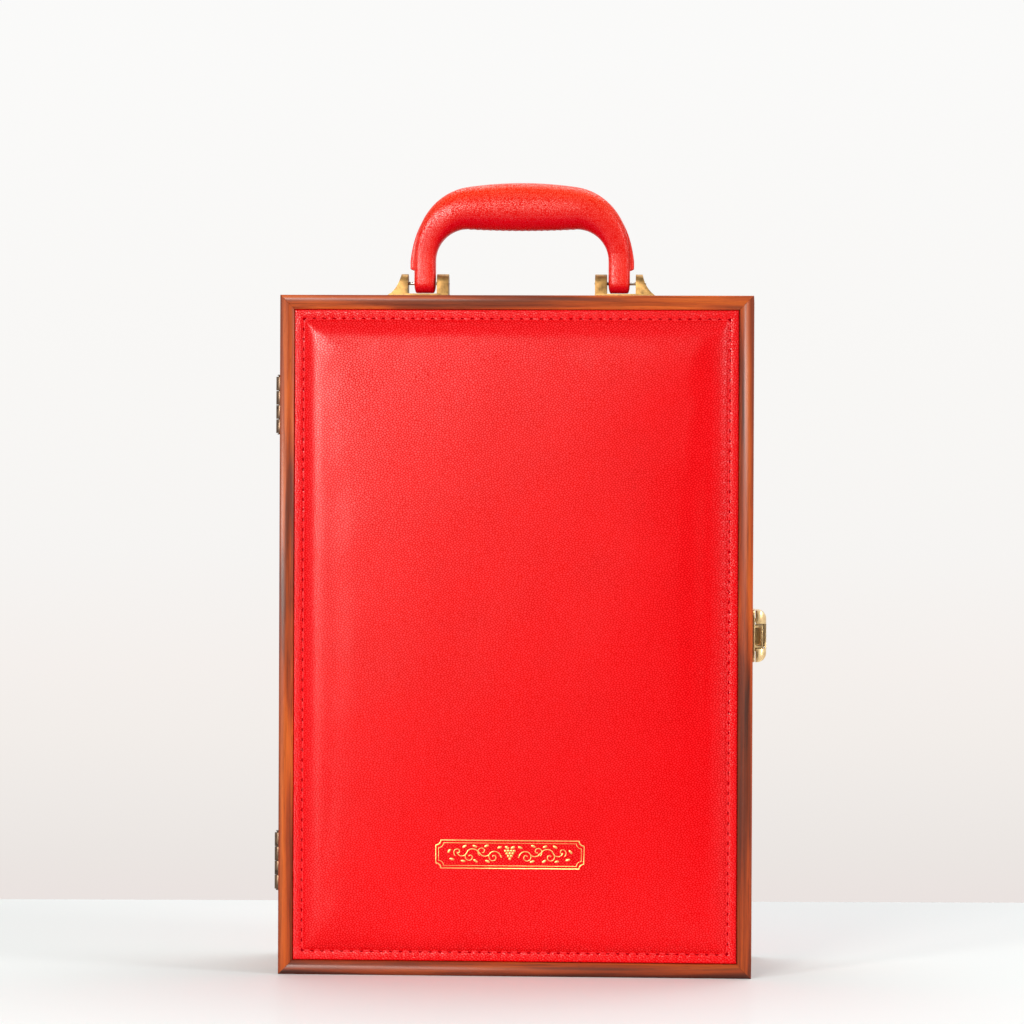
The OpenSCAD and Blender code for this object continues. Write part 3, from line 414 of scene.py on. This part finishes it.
def hide(name, colour, deep, pebble, relief, rough, gloss, flat=False, seam=None):
    """Grained leather: colour on its pebbles, deep in the creases between them as painted shade; pebble
    is their size and relief their height, in mm, and gloss is how much they shine. The grain of a flat
    skin lies in X and Z and slants a little. seam may tell where the leather lies slack and its stitches
    pull."""
    material, tree, shader = finish(name, {"Roughness": rough})
    place = on_piece(tree)
    wobble = add(tree, "ShaderNodeTexNoise", {"Vector": place, "Scale": 400 / pebble, "Detail": 2})
    bent = add(tree, "ShaderNodeMix", {0: 0.3 * MM * pebble, 4: place, 5: wobble.outputs["Color"]},
               data_type="VECTOR").outputs[1]
    if flat:
        x, y, z = add(tree, "ShaderNodeSeparateXYZ", {"Vector": bent}).outputs
        bent = add(tree, "ShaderNodeCombineXYZ", {"X": x, "Y": z}).outputs[0]
        bent = add(tree, "ShaderNodeMapping", {"Vector": bent, "Rotation": (0, 0, math.radians(-40)),
                                               "Scale": (0.75, 1, 1)}).outputs[0]
    creases = add(tree, "ShaderNodeTexVoronoi", {"Vector": bent, "Scale": 1000 / pebble, "Randomness": 0.9},
                  feature="DISTANCE_TO_EDGE", voronoi_dimensions="2D" if flat else "3D").outputs["Distance"]
    firm = remap(tree, creases, 0.0, 0.3, smooth=True)
    fine = mottle(tree, place, 3500 / pebble, 3)
    height = calc(tree, "MULTIPLY", calc(tree, "MULTIPLY_ADD", fine, 0.4, firm), relief)
    if seam:
        slack, folds = seam(tree, place)
        deeper = calc(tree, "MULTIPLY_ADD", slack, 1.2, 1.0)
        height = calc(tree, "MULTIPLY_ADD", height, deeper, folds)
    tree.links.new(remap(tree, firm, 0, 1, 0, 1.5 * gloss), shader.inputs["Specular IOR Level"])
    # Painted shade: the creases between the pebbles are coloured deep.
    pebbled = ramp(tree, firm, [(0.0, deep), (1.0, colour)])
    cloudy = ramp(tree, mottle(tree, place, 28, 3), [(0.3, (0.94, 0.86, 0.86)), (0.7, (1, 1, 1))])
    tree.links.new(stained(tree, pebbled, cloudy), shader.inputs["Base Color"])
    bump(tree, shader, height, 1.0, 1.0)
    return material


def seam_fields(tree, place):
    """Two fields round a panel's seam: 1 on the slack margin outside it, falling to 0 on the pillow,
    and the height in mm of the small folds that run away from it between the stitches."""
    x, y, z = add(tree, "ShaderNodeSeparateXYZ", {"Vector": place}).outputs
    across = [(x, seam_half_w), (calc(tree, "SUBTRACT", z, mid_z * MM), seam_half_h)]
    wobble = mottle(tree, place, 120, 2)
    insets, folds = [], []
    for (value, half), (along, half_along) in (across, across[::-1]):
        inset = inside(tree, half, value)
        pitch = 2 * half_along / round(2 * half_along / stitch_pitch)
        start = calc(tree, "ADD", along, half_along * MM)
        phase = calc(tree, "MULTIPLY", start, 2 * math.pi / (pitch * MM))
        bend = calc(tree, "MULTIPLY_ADD", wobble, 5.0, phase)
        away = calc(tree, "ABSOLUTE", inset)
        near = remap(tree, away, fold_near * MM, fold_far * MM, 1, 0, smooth=True)
        insets.append(inset)
        folds.append(calc(tree, "MULTIPLY", near, calc(tree, "COSINE", bend)))
    slack = remap(tree, calc(tree, "MINIMUM", *insets), 0, slack_run * MM, 1, 0, smooth=True)
    return slack, calc(tree, "MULTIPLY", calc(tree, "ADD", *folds), fold_h)


# Under a roughness of about 0.275 a renderer's denoiser takes this fine grain for noise.
red_leather = hide("red_leather", (0.97, 0.004, 0.010), (0.72, 0.0, 0.001), 1.1, 0.026, 0.276, 0.30,
                   flat=True, seam=seam_fields)


def mesh_lines(length):
    """Distances of the mesh lines across a panel: close at the edge and the seam, wide inside."""
    near = [0, 0.15, 0.45, edge_r, 2.0, 3.7, 4.5, sewn_at, 5.9, 6.7, 8.0, 9.7, 11.8, 14.2, 17.0, 20.0,
            24.0]
    span = length - 2 * near[-1]
    count = round(span / 5.0)
    wide = [near[-1] + span * k / count for k in range(1, count)]
    return near + wide + [length - d for d in reversed(near)]


def pillow_height(dx, dz, rise, crown):
    """Height of the leather over the margin at these distances from the panel's edges."""
    edge = min(dx, dz)
    drawn_in = groove_d * min(1, max(0, (groove_half - abs(edge - sewn_at)) / groove_slope))
    if edge <= sewn_at:
        return -edge_r * (1 - math.sqrt(1 - (1 - min(edge / edge_r, 1)) ** 2)) - drawn_in
    a, b = dx - sewn_at, dz - sewn_at
    inset = (a ** -corner_power + b ** -corner_power) ** (-1 / corner_power)
    t = min(1, inset / shoulder)
    c = min(1, max(0, inset - shoulder) / crown_run)
    return rise * (1 - (1 - t) ** fullness) - drawn_in + crown * math.sin(c * math.pi / 2)


def new_verts(made):
    """The vertices among what an extrusion made."""
    return [g for g in made if isinstance(g, bmesh.types.BMVert)]


def panel_mesh(rise, crown):
    """Grid over a whole panel in the X-Z plane, raised to -Y, with its edge turned back."""
    columns, rows = mesh_lines(panel_w), mesh_lines(panel_h)
    bm = bmesh.new()
    bmesh.ops.create_grid(bm, x_segments=len(columns) - 1, y_segments=len(rows) - 1, size=1)
    for v in bm.verts:
        x = columns[round((v.co.x + 1) / 2 * (len(columns) - 1))]
        z = rows[round((v.co.y + 1) / 2 * (len(rows) - 1))]
        height = pillow_height(min(x, panel_w - x), min(z, panel_h - z), rise, crown)
        if min(x, panel_w - x, z, panel_h - z) > sewn_at + 1:
            height += dimple * noise.noise(Vector((x / dimple_run, z / dimple_run, rise)))
        v.co = Vector((x - panel_w / 2, board_plane - skin - height, z - panel_h / 2 + mid_z)) * MM
    rim = [e for e in bm.edges if e.is_boundary]
    turned = bmesh.ops.extrude_edge_only(bm, edges=rim)["geom"]
    bmesh.ops.translate(bm, vec=(0, turned_down * MM, 0), verts=new_verts(turned))
    bmesh.ops.recalc_face_normals(bm, faces=bm.faces)
    return bm


def inflate(piece, held, outward, limit):
    """Swells a piece as cloth over its filling. held says which points are sewn or glued down. The
    filling keeps the others from sinking in, so each moves along outward, limit at the most."""
    last_frame = 20
    group = piece.vertex_groups.new(name="held")
    group.add([v.index for v in piece.data.vertices if held(v.co)], 1.0, "REPLACE")
    cloth = piece.modifiers.new("cloth", "CLOTH")
    cloth.settings.quality = 6
    cloth.settings.mass = 0.4
    cloth.settings.tension_stiffness = cloth.settings.compression_stiffness = 30
    cloth.settings.shear_stiffness = 10
    cloth.settings.bending_stiffness = 4
    cloth.settings.use_pressure = True
    cloth.settings.uniform_pressure_force = 4
    cloth.settings.effector_weights.gravity = 0
    cloth.settings.vertex_group_mass = "held"
    cloth.collision_settings.use_collision = False
    cloth.point_cache.frame_start, cloth.point_cache.frame_end = 1, last_frame
    start = [v.co.copy() for v in piece.data.vertices]
    for step in range(1, last_frame + 1):
        scene.frame_set(step)
    swollen = piece.evaluated_get(bpy.context.evaluated_depsgraph_get()).to_mesh()
    moved = [v.co.copy() for v in swollen.vertices]
    piece.modifiers.remove(cloth)
    piece.vertex_groups.remove(group)
    for v, old, new in zip(piece.data.vertices, start, moved):
        v.co = old + outward * min(limit * MM, max(0, (new - old).dot(outward)))
    scene.frame_set(1)


def sewn_down(point):
    """True for a point on a panel's seam or margin, or a hair inside the seam."""
    held_w, held_h = (seam_half_w - 0.2) * MM, (seam_half_h - 0.2) * MM
    return abs(point.x) > held_w or abs(point.z - mid_z * MM) > held_h


def drawn_panel(name, rise, crown, facing, node, body):
    """Leather of one panel, facing -1 to the front or 1 to the back, in place of its CAD node."""
    piece = make_object(name, panel_mesh(rise, crown), red_leather)
    inflate(piece, sewn_down, Vector((0, -1, 0)), leather_swell)
    if facing > 0:
        piece.data.transform(Matrix.Scale(-1, 4, (0, 1, 0)))
        piece.data.flip_normals()
    wall = piece.modifiers.new("thickness", "SOLIDIFY")
    wall.thickness = skin * MM
    wall.offset = -1
    rounder = piece.modifiers.new("rounded", "SUBSURF")
    rounder.levels = rounder.render_levels = 1
    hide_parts(node)
    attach(piece, body)
    return piece


front_panel = drawn_panel("front_leather", 4.4, 0.7, -1, "lid_panel_leather", "lid")
drawn_panel("back_leather", 2.2, 0.7, 1, "back_panel_leather", "base")

# ------------------------------------------------------------------ seams of the panels
# One row of lock stitches in the groove round each pillow: a red thread between needle holes that
# the tension has pulled open, a little darker than the leather. The holes are flat dark discs of
# painted shade.
thread_r, thread_taper = 0.3, 0.4
thread_dip = 0.3  # how far a stitch's ends go down into their holes
thread_reach = 0.32  # half a stitch, as a share of the pitch
hole_r = 0.95
groove_plane = board_plane - skin + groove_d

thread, tree, shader = finish("red_thread", {"Roughness": 0.6, "Specular IOR Level": 0.2})
twist = mottle(tree, on_piece(tree), 3000, 2)
colour_by(tree, shader, twist, [(0.3, (0.80, 0.010, 0.018)), (0.7, (0.97, 0.06, 0.07))])
bump(tree, shader, twist, 0.5, 0.1)
# The needle holes' material: a flat dark red that paints the shade inside each hole.
hole_shade, tree, shader = finish("painted_needle_hole_shade", {"Base Color": (0.34, 0.0, 0.004, 1), "Roughness": 0.8,
                                               "Specular IOR Level": 0.0})


def skin_over(bm, stations, shape, segments):
    """Closed tube through stations: shape(station, turn) places each point of a ring."""
    turn = bm.verts.layers.float.get("turn") or bm.verts.layers.float.new("turn")
    ring = bmesh.ops.create_circle(bm, segments=segments, radius=1)["verts"]
    edges = list(dict.fromkeys(e for v in ring for e in v.link_edges))
    for v in ring:
        v[turn] = math.atan2(v.co.y, v.co.x)
    for k, station in enumerate(stations):
        if k:
            made = bmesh.ops.extrude_edge_only(bm, edges=edges)["geom"]
            ring = new_verts(made)
            edges = [g for g in made
                     if isinstance(g, bmesh.types.BMEdge) and all(v in ring for v in g.verts)]
        for v in ring:
            v.co = shape(station, v[turn])
        if k in (0, len(stations) - 1):
            bmesh.ops.contextual_create(bm, geom=edges)


def sew_side(bm, start, end, holes_bm):
    """Stitches in bm, and in holes_bm flat dark discs of painted shade for the needle holes, along one
    side, from corner hole to corner hole.
    """
    run = end - start
    count = round(run.length / stitch_pitch)
    ahead = run / count

    def thread_point(t, turn):
        r = thread_r * (1 - thread_taper * t ** 4)
        x, y = thread_reach * ahead.length * t, thread_dip * t ** 4
        return Vector((x, y + r * math.cos(turn), r * math.sin(turn)))

    one = bmesh.new()
    skin_over(one, (-1, -0.6, 0, 0.6, 1), thread_point, 6)
    turn_about(one, -math.degrees(math.atan2(ahead.z, ahead.x)), "Y", one.verts)
    bmesh.ops.translate(one, vec=start + ahead / 2, verts=one.verts)
    stitch = bpy.data.meshes.new("stitch")
    one.to_mesh(stitch)
    one.free()
    for k in range(count):
        bm.from_mesh(stitch)
        stitch.transform(Matrix.Translation(ahead))
        made = bmesh.ops.create_circle(holes_bm, cap_ends=True, segments=12, radius=hole_r)["verts"]
        turn_about(holes_bm, 90, "X", made)
        bmesh.ops.translate(holes_bm, verts=made, vec=start + ahead * k)
    bpy.data.meshes.remove(stitch)


def sewn_row(name, facing, body):
    """The four sides of one panel's seam: an object of thread, and one of flat dark discs that paint the
    shade in the needle holes.
    """
    corners = [Vector((sx * seam_half_w, groove_plane, mid_z + sz * seam_half_h))
               for sx, sz in ((-1, -1), (1, -1), (1, 1), (-1, 1))]
    stitches, holes = bmesh.new(), bmesh.new()
    for k in range(4):
        sew_side(stitches, corners[k], corners[(k + 1) % 4], holes)
    for bm, suffix, material, lift in ((stitches, "_thread", thread, 0.1),
                                       (holes, "_painted_hole_shade", hole_shade, 0.07)):
        bmesh.ops.translate(bm, vec=(0, -lift, 0), verts=bm.verts)
        bmesh.ops.scale(bm, vec=(MM, -facing * MM, MM), verts=bm.verts)
        if bm is holes:
            for face in bm.faces:
                if face.normal.y * facing < 0:
                    face.normal_flip()
        else:
            bmesh.ops.recalc_face_normals(bm, faces=bm.faces)
        piece = make_object(name + suffix, bm, material)
        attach(piece, body)


sewn_row("front_seam", -1, "lid")
sewn_row("back_seam", 1, "base")

# ------------------------------------------------------------------ foil ornament
# A hot-stamped gold ornament low on the front leather: a ticket-shaped frame with a bunch of
# grapes between two mirrored vine scrolls. It is a plain vintner's motif and names nobody.
ornament_x, ornament_z = -2.0, 64.0
ornament_w, ornament_h = 78.0, 15.4
foil_flat, foil_sunk = 0.28, 0.02  # how far the lines are pressed flat, and into the leather
frame_notch = 2.6
grape_r, grape_pitch, grape_drop, grape_top = 0.72, 1.55, 1.35, 1.9
leaf_r, leaf_stretch = 0.62, 2.1

foil, tree, shader = finish("gold_foil", {"Metallic": 1.0, "Roughness": 0.38})
wear_and_painted_light = mottle(tree, on_piece(tree), 1500, 4)
colour_by(tree, shader, wear_and_painted_light, [
    (0.32, (0.62, 0.26, 0.09)), (0.48, (0.86, 0.50, 0.17)), (0.8, (0.93, 0.62, 0.26)),
])
bump(tree, shader, wear_and_painted_light, 0.3, 0.1)


def stroke(bm, points, width, closed=False):
    """Foil line of a given width through points in the ornament's plane."""
    curve = bpy.data.curves.new("stroke", "CURVE")
    curve.dimensions = "3D"
    curve.bevel_depth = width / 2
    curve.bevel_resolution = 1
    curve.use_fill_caps = not closed
    line = curve.splines.new("POLY")
    line.points.add(len(points) - 1)
    for point, (x, z) in zip(line.points, points):
        point.co = (x, 0, z, 1)
    line.use_cyclic_u = closed
    holder = bpy.data.objects.new("stroke", curve)
    shape = bpy.data.meshes.new_from_object(holder)
    bm.from_mesh(shape)
    bpy.data.objects.remove(holder)
    bpy.data.curves.remove(curve)
    bpy.data.meshes.remove(shape)


def ticket(margin):
    """The frame's outline, this far inside the ornament's: its corners are cut in by quarter circles."""
    points = []
    for sx, sz, first in ((1, 1, 270), (-1, 1, 0), (-1, -1, 90), (1, -1, 180)):
        x, z = sx * (ornament_w / 2 - margin), sz * (ornament_h / 2 - margin)
        for k in range(9):
            a = math.radians(first - 11.25 * k)
            points.append((x + frame_notch * math.cos(a), z + frame_notch * math.sin(a)))
    return points


def scroll(cx, cz, r0, r1, a0, a1):
    """Spiral about (cx, cz) from radius r0 at angle a0 to r1 at a1, in degrees."""
    steps = max(6, int(abs(a1 - a0) / 12))
    points = []
    for k in range(steps + 1):
        t = k / steps
        a, r = math.radians(a0 + (a1 - a0) * t), r0 + (r1 - r0) * t
        points.append((cx + r * math.cos(a), cz + r * math.sin(a)))
    return points


def disc(bm, x, z, r, stretch=1.0, turn=0.0):
    """Raised foil dot or leaf."""
    made = bmesh.ops.create_uvsphere(bm, u_segments=12, v_segments=6, radius=r)["verts"]
    bmesh.ops.scale(bm, vec=(stretch, 1, 1), verts=made)
    turn_about(bm, -turn, "Y", made)
    bmesh.ops.translate(bm, vec=(x, 0, z), verts=made)


# The right half's stem, its four curls and its leaves (place and turn); the left half mirrors them.
stem = [(4.2, -1.2)]
for bend in ((8.6, -1.6, 4.0, 2.9, 180, 60), (13.6, 2.1, 3.6, 2.4, 215, 330),
             (20.6, -0.9, 5.0, 3.0, 165, 60), (25.6, 1.8, 3.3, 2.0, 205, 340)):
    stem += scroll(*bend)
curls = ((8.6, -1.4, 2.7, 0.5, 60, -330), (14.4, 1.6, 2.6, 0.5, 300, 640),
         (20.9, -1.3, 2.7, 0.5, 60, -330), (27.2, 1.2, 2.4, 0.4, 300, 620))
leaves = ((11.6, -3.6, 20), (12.2, 4.4, -25), (17.9, -3.4, 35), (23.6, 4.1, -30), (30.2, -2.6, 15),
          (31.6, 1.6, -50), (5.4, 3.7, -20), (24.4, -3.5, 10), (18.3, 4.2, 20))

bm = bmesh.new()
stroke(bm, ticket(0.4), 0.75, closed=True)
stroke(bm, ticket(1.8), 0.35, closed=True)
for row, count in enumerate((4, 3, 2, 1)):
    for k in range(count):
        disc(bm, (k - (count - 1) / 2) * grape_pitch, grape_top - grape_drop * row, grape_r)
for side in (-1, 1):
    disc(bm, side * 1.5, 3.6, 0.75, 1.7, 90 - side * 60)
for side in (-1, 1):
    stroke(bm, [(side * x, z) for x, z in stem], 0.6)
    for curl in curls:
        stroke(bm, [(side * x, z) for x, z in scroll(*curl)], 0.5)
    for x, z, turn in leaves:
        disc(bm, side * x, z, leaf_r, leaf_stretch, side * turn)
bmesh.ops.scale(bm, vec=(1, foil_flat, 1), verts=bm.verts)
bmesh.ops.translate(bm, vec=(ornament_x, 0, ornament_z), verts=bm.verts)
leather_surface = BVHTree.FromObject(front_panel, bpy.context.evaluated_depsgraph_get())
for v in bm.verts:
    hit = leather_surface.ray_cast(Vector((v.co.x * MM, -0.2, v.co.z * MM)), Vector((0, 1, 0)))[0]
    v.co = Vector((v.co.x * MM, hit.y + (v.co.y - foil_sunk) * MM, v.co.z * MM))
bmesh.ops.recalc_face_normals(bm, faces=bm.faces)
piece = make_object("foil_ornament", bm, foil)
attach(piece, "lid")

# ------------------------------------------------------------------ linings and bottle tray
# The walls and the lid are lined with cream velvet, over a soft pad in the lid. The tray that
# holds the bottles and tools is a moulding flocked in the same cream, with softened edges.


def velvet(name, colour, deep):
    """Short pile, colour where it is brushed one way and deep where it is brushed the other."""
    material, tree, shader = finish(name, {"Roughness": 0.95, "Sheen Weight": 0.5, "Sheen Roughness": 0.4,
                                           "Sheen Tint": (1.0, 0.95, 0.85, 1), "Specular IOR Level": 0.1})
    place = on_piece(tree)
    pile = mottle(tree, place, 2600, 2)
    brushed = mottle(tree, place, 45, 3, 1.0)
    lie = calc(tree, "MULTIPLY_ADD", brushed, 0.6, pile)
    colour_by(tree, shader, lie, [(0.55, deep), (1.0, colour)])
    bump(tree, shader, pile, 0.6, 0.3)
    return material


lining = velvet("velvet_lining", (0.66, 0.52, 0.33), (0.50, 0.37, 0.21))
flock = velvet("tray_flock", (0.60, 0.47, 0.29), (0.46, 0.34, 0.19))
for node in ("lid_wall_lining", "base_wall_lining"):
    eased(node, 0.3, lining)
eased("bottle_tray", 0.9, flock, steps=3, angle=50)

# The lid's pad: velvet drawn over thin wadding, full in the middle and rolled down at its edges.
pad_low, pad_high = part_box("lid_lining_pad")
pad_size = (pad_high - pad_low) / MM
pad_room = 1.9  # left between the flat pad and the CAD's full one, for the swelling
pad_rolled, pad_hem = 11, 0.25  # width of the rolled edge, and the share of the height at its hem
pad_dimple, pad_dimple_run = 0.12, 22
pad_glued, pad_swell = 1.8, 1.6
bm = bmesh.new()
bmesh.ops.create_grid(bm, x_segments=44, y_segments=66, size=0.5)
for v in bm.verts:
    x, z = v.co.x * pad_size.x, v.co.y * pad_size.z
    inset = max(1e-6, min(pad_size.x / 2 - abs(x), pad_size.z / 2 - abs(z)))
    t = min(1, inset / pad_rolled)
    full = pad_size.y - pad_room
    if t == 1:
        full += pad_dimple * noise.noise(Vector((x / pad_dimple_run, z / pad_dimple_run, 3)))
    y = full * (pad_hem + (1 - pad_hem) * math.sqrt(1 - (1 - t) ** 2))
    v.co = Vector((x, y, z)) * MM
rim = [e for e in bm.edges if e.is_boundary]
skirt = bmesh.ops.extrude_edge_only(bm, edges=rim)["geom"]
for v in new_verts(skirt):
    v.co.y = 0
hem = [g for g in skirt if isinstance(g, bmesh.types.BMEdge) and g.is_boundary]
bmesh.ops.holes_fill(bm, edges=hem, sides=0)
pad_middle = (pad_low + pad_high) / 2
bmesh.ops.translate(bm, vec=(pad_middle.x, pad_low.y, pad_middle.z), verts=bm.verts)
bmesh.ops.recalc_face_normals(bm, faces=bm.faces)
for face in bm.faces:
    face.smooth = len(face.verts) == 4
piece = make_object("lid_velvet_pad", bm, lining, smooth=False)
inflate(piece, lambda point: point.y < pad_low.y + pad_glued * MM, Vector((0, 1, 0)), pad_swell)
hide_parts("lid_lining_pad")
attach(piece, "lid")

# ------------------------------------------------------------------ hinges
# Two butt hinges of dark bronze on the left wall: a leaf on each shell, four knuckles on one pin,
# and two countersunk screws to a leaf.


def metal(name, colour, dull, rough, brush, run=1, tarnish=(0.30, 0.52)):
    """Metal with tarnish in patches and fine scratches; run stretches them along Z, 1 leaves them round."""
    material, tree, shader = finish(name, {"Metallic": 1.0, "Roughness": rough})
    place = on_piece(tree)
    patch = mottle(tree, place, 260, 5)
    drawn = add(tree, "ShaderNodeMapping", {"Vector": place, "Scale": (1, 1, 1 / run)})
    lines = mottle(tree, drawn.outputs[0], 3200, 2)
    low, high = tarnish
    mixed = calc(tree, "MULTIPLY_ADD", lines, brush, patch)
    colour_by(tree, shader, mixed, [(low + brush / 2, dull), (high + brush / 2, colour)])
    tree.links.new(remap(tree, lines, 0, 1, rough - 0.06, rough + 0.1), shader.inputs["Roughness"])
    bump(tree, shader, lines, 0.25, 0.06)
    return material


bronze = metal("dark_bronze", (0.13, 0.085, 0.055), (0.05, 0.033, 0.024), 0.36, 0.15)
for node in ("upper_hinge_base_leaf", "upper_hinge_lid_leaf",
             "lower_hinge_base_leaf", "lower_hinge_lid_leaf"):
    eased(node, 0.18, bronze)
for node in ("upper_hinge_pin", "lower_hinge_pin", "hinge_base_screws", "hinge_lid_screws"):
    eased(node, 0.08, bronze, steps=1)

# ------------------------------------------------------------------ handle
# Padded leather is wrapped round a flat steel bar and closed along the belly by a hand-sewn seam.
# The wrap's edges stand up as a spine on the outside of each leg.
pin_low, pin_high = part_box("left_handle_pin")
handle_z = round((pin_low.z + pin_high.z) / 2 / MM, 1)
leg_in, leg_out, leg_end_r = 46.0, 57.4, 5.2
corner_x, corner_z, inner_r = 29.0, 11.8, 17.0
grip_h, grip_crown, grip_belly, grip_half = 22.5, 2.1, 0.8, 9.5
leg_square, grip_square = 3.6, 2.3
tip_tuck, tip_half = 1.3, 0.8
grow_end = 2 * grip_crown / corner_x * (inner_r + grip_h) * math.pi / 2 / (grip_h - (leg_out - leg_in))
spine_foot, spine_rise, spine_root, spine_half = 6.6, 2.2, 1.5, 1.7
spine_end = 0.72  # share of the corner that the spine goes round


def corner_station(t):
    """Station round the corner, t from 0 at the leg to 1 at the grip: inner point, outer point,
    half thickness and squareness of the section."""
    a = math.radians(90 * t)
    grow = (3 - grow_end) * t * t + (grow_end - 2) * t ** 3
    r = inner_r + (leg_out - leg_in) + (grip_h - leg_out + leg_in) * grow
    ease = t * t * (3 - 2 * t)
    return (corner_x + inner_r * math.cos(a), corner_z + inner_r * math.sin(a),
            corner_x + r * math.cos(a), corner_z + r * math.sin(a),
            leg_end_r + (grip_half - leg_end_r) * ease, leg_square + (grip_square - leg_square) * ease)


def grip_station(t):
    """Station along half the grip, t from 0 at the corner to 1 in the middle."""
    x, bow = corner_x * (1 - t), 1 - (1 - t) ** 2
    low = corner_z + inner_r
    return x, low - grip_belly * bow, x, low + grip_h + grip_crown * bow, grip_half, grip_square


def leg_end_station(t):
    """Station round the leg's rounded end, t from 0 at the pin to 1 at the tip."""
    a = math.radians(90 * t)
    tuck = tip_tuck * (1 - math.cos(a))
    low = -leg_end_r * math.sin(a)
    return leg_in + tuck, low, leg_out - tuck, low, max(leg_end_r * math.cos(a), tip_half), leg_square


half_handle = [leg_end_station(k / 7) for k in range(7, 0, -1)]
for k in range(6):
    z = corner_z * k / 6
    half_handle.append((leg_in, z, leg_out, z, leg_end_r, leg_square))
half_handle += [corner_station(k / 20) for k in range(21)]
half_handle += [grip_station(k / 12) for k in range(1, 13)]
whole_handle = half_handle + [(-s[0], s[1], -s[2], *s[3:]) for s in reversed(half_handle[:-1])]


def squared_off(turn, power_u, power_v):
    """Cosine and sine of an angle on a circle squared off: the smaller a power, the squarer."""
    return (math.copysign(abs(math.cos(turn)) ** power_u, math.cos(turn)),
            math.copysign(abs(math.sin(turn)) ** power_v, math.sin(turn)))


def wrap_point(station, turn):
    """Point at an angle round a station's section."""
    x0, z0, x1, z1, half, square = station
    u, v = squared_off(turn, 2 / square, 2 / square)
    return Vector(((x0 + x1) / 2 + (x1 - x0) / 2 * u, half * v, (z0 + z1) / 2 + (z1 - z0) / 2 * u))


def spine_point(station, turn):
    """Point at an angle round the spine, which is rooted in the wrap under its outer face."""
    side, out_x, out_z, dir_x, dir_z, height = station
    u, v = squared_off(turn, 0.55, 0.7)
    reach = (height - spine_root) / 2 + (height + spine_root) / 2 * u
    return Vector((side * (out_x + dir_x * reach), side * spine_half * v, out_z + dir_z * reach))


def spine_run(side):
    """Stations of the spine: it rises from its foot, runs up the leg and dies out round the corner.
    Both of its ends are sunk into the wrap."""
    run = [(side, leg_out, spine_foot, 1, 0, -0.3)]
    for k in range(1, 6):
        height = spine_rise * math.sin(math.radians(18 * k))
        run.append((side, leg_out, spine_foot + 0.25 * k, 1, 0, height))
    for k in range(1, 5):
        run.append((side, leg_out, spine_foot + 1.8 + 0.7 * k, 1, 0, spine_rise))
    for k in range(25):
        share = k / 24
        s = corner_station(spine_end * share)
        a = math.radians(90 * spine_end * share)
        height = spine_rise * (1 - share) ** 1.4 - 0.9 * share
        run.append((side, s[2], s[3], math.cos(a), math.sin(a), height))
    return run


handle_leather = hide("handle_leather", (0.99, 0.050, 0.028), (0.88, 0.014, 0.008), 0.9, 0.026, 0.33, 0.48)
# Painted light and shade: the leather is coloured orange where it faces up and deeper red where it
# faces down.
tree = handle_leather.node_tree
base = tree.nodes["Principled BSDF"].inputs["Base Color"]
normal = add(tree, "ShaderNodeTexCoord").outputs["Normal"]
upward = add(tree, "ShaderNodeSeparateXYZ", {"Vector": normal}).outputs["Z"]
wear_and_painted_light = ramp(tree, remap(tree, upward, -1, 1), [
    (0.28, (0.85, 0.04, 0.8)), (0.5, (1, 1, 1)), (0.85, (1, 1.5, 0.2)),
])
tree.links.new(stained(tree, base.links[0].from_socket, wear_and_painted_light), base)

bm = bmesh.new()
skin_over(bm, whole_handle, wrap_point, 40)
for side in (-1, 1):
    skin_over(bm, spine_run(side), spine_point, 20)
bmesh.ops.scale(bm, vec=(MM, MM, MM), verts=bm.verts)
bmesh.ops.translate(bm, vec=(0, 0, handle_z * MM), verts=bm.verts)
bmesh.ops.recalc_face_normals(bm, faces=bm.faces)
piece = make_object("handle_wrap", bm, handle_leather)
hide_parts("handle_cover")
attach(piece, "handle")

# The seam on the belly of the grip, slanted stitches a little over 3 mm apart.
seam_half, seam_gaps, seam_slant = 27.0, 16, 14
hand_stitch = (1.45, 0.3, 0.22)  # half its length, width and height
bm = bmesh.new()
for k in range(seam_gaps + 1):
    x = -seam_half + 2 * seam_half * k / seam_gaps
    low = grip_station(1 - abs(x) / corner_x)[1]
    made = bmesh.ops.create_icosphere(bm, subdivisions=1, radius=1)["verts"]
    bmesh.ops.scale(bm, vec=hand_stitch, verts=made)
    turn_about(bm, seam_slant, "Z", made)
    bmesh.ops.translate(bm, vec=(x, 0, low + 0.08), verts=made)
bmesh.ops.scale(bm, vec=(MM, MM, MM), verts=bm.verts)
bmesh.ops.translate(bm, vec=(0, 0, handle_z * MM), verts=bm.verts)
piece = make_object("handle_seam", bm, thread)
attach(piece, "handle")

steel = metal("steel", (0.52, 0.51, 0.50), (0.20, 0.19, 0.18), 0.3, 0.2)
for node in ("handle_core", "left_handle_pin", "right_handle_pin"):
    eased(node, 0.1, steel, steps=1)

# ------------------------------------------------------------------ handle brackets
# Cast brass brackets, brushed up and down their ears and gone dull, screwed down on the top rail.
# Each has two ears, which carry the handle's pin, and a swept foot.
brass = metal("antique_brass", (0.29, 0.168, 0.058), (0.13, 0.078, 0.03), 0.48, 0.35, run=30)
for node in ("left_handle_bracket", "right_handle_bracket"):
    eased(node, 0.3, brass, steps=3)
eased("handle_bracket_screws", 0.1, brass, steps=1)

# ------------------------------------------------------------------ catch
# An over-cover catch in polished brass on the right wall: a plate with two ears, a hollow domed
# lever on a pin, and on the lid a keeper with a short tunnel that the lever closes over.
polished = metal("polished_gold", (0.84, 0.60, 0.30), (0.50, 0.32, 0.13), 0.3, 0.08, tarnish=(0.25, 0.45))
for node, ease in (("latch_plate", 0.2), ("latch_lever", 0.3), ("latch_pin", 0.1), ("latch_screws", 0.1),
                   ("latch_keeper", 0.2), ("keeper_screws", 0.1)):
    eased(node, ease, polished)
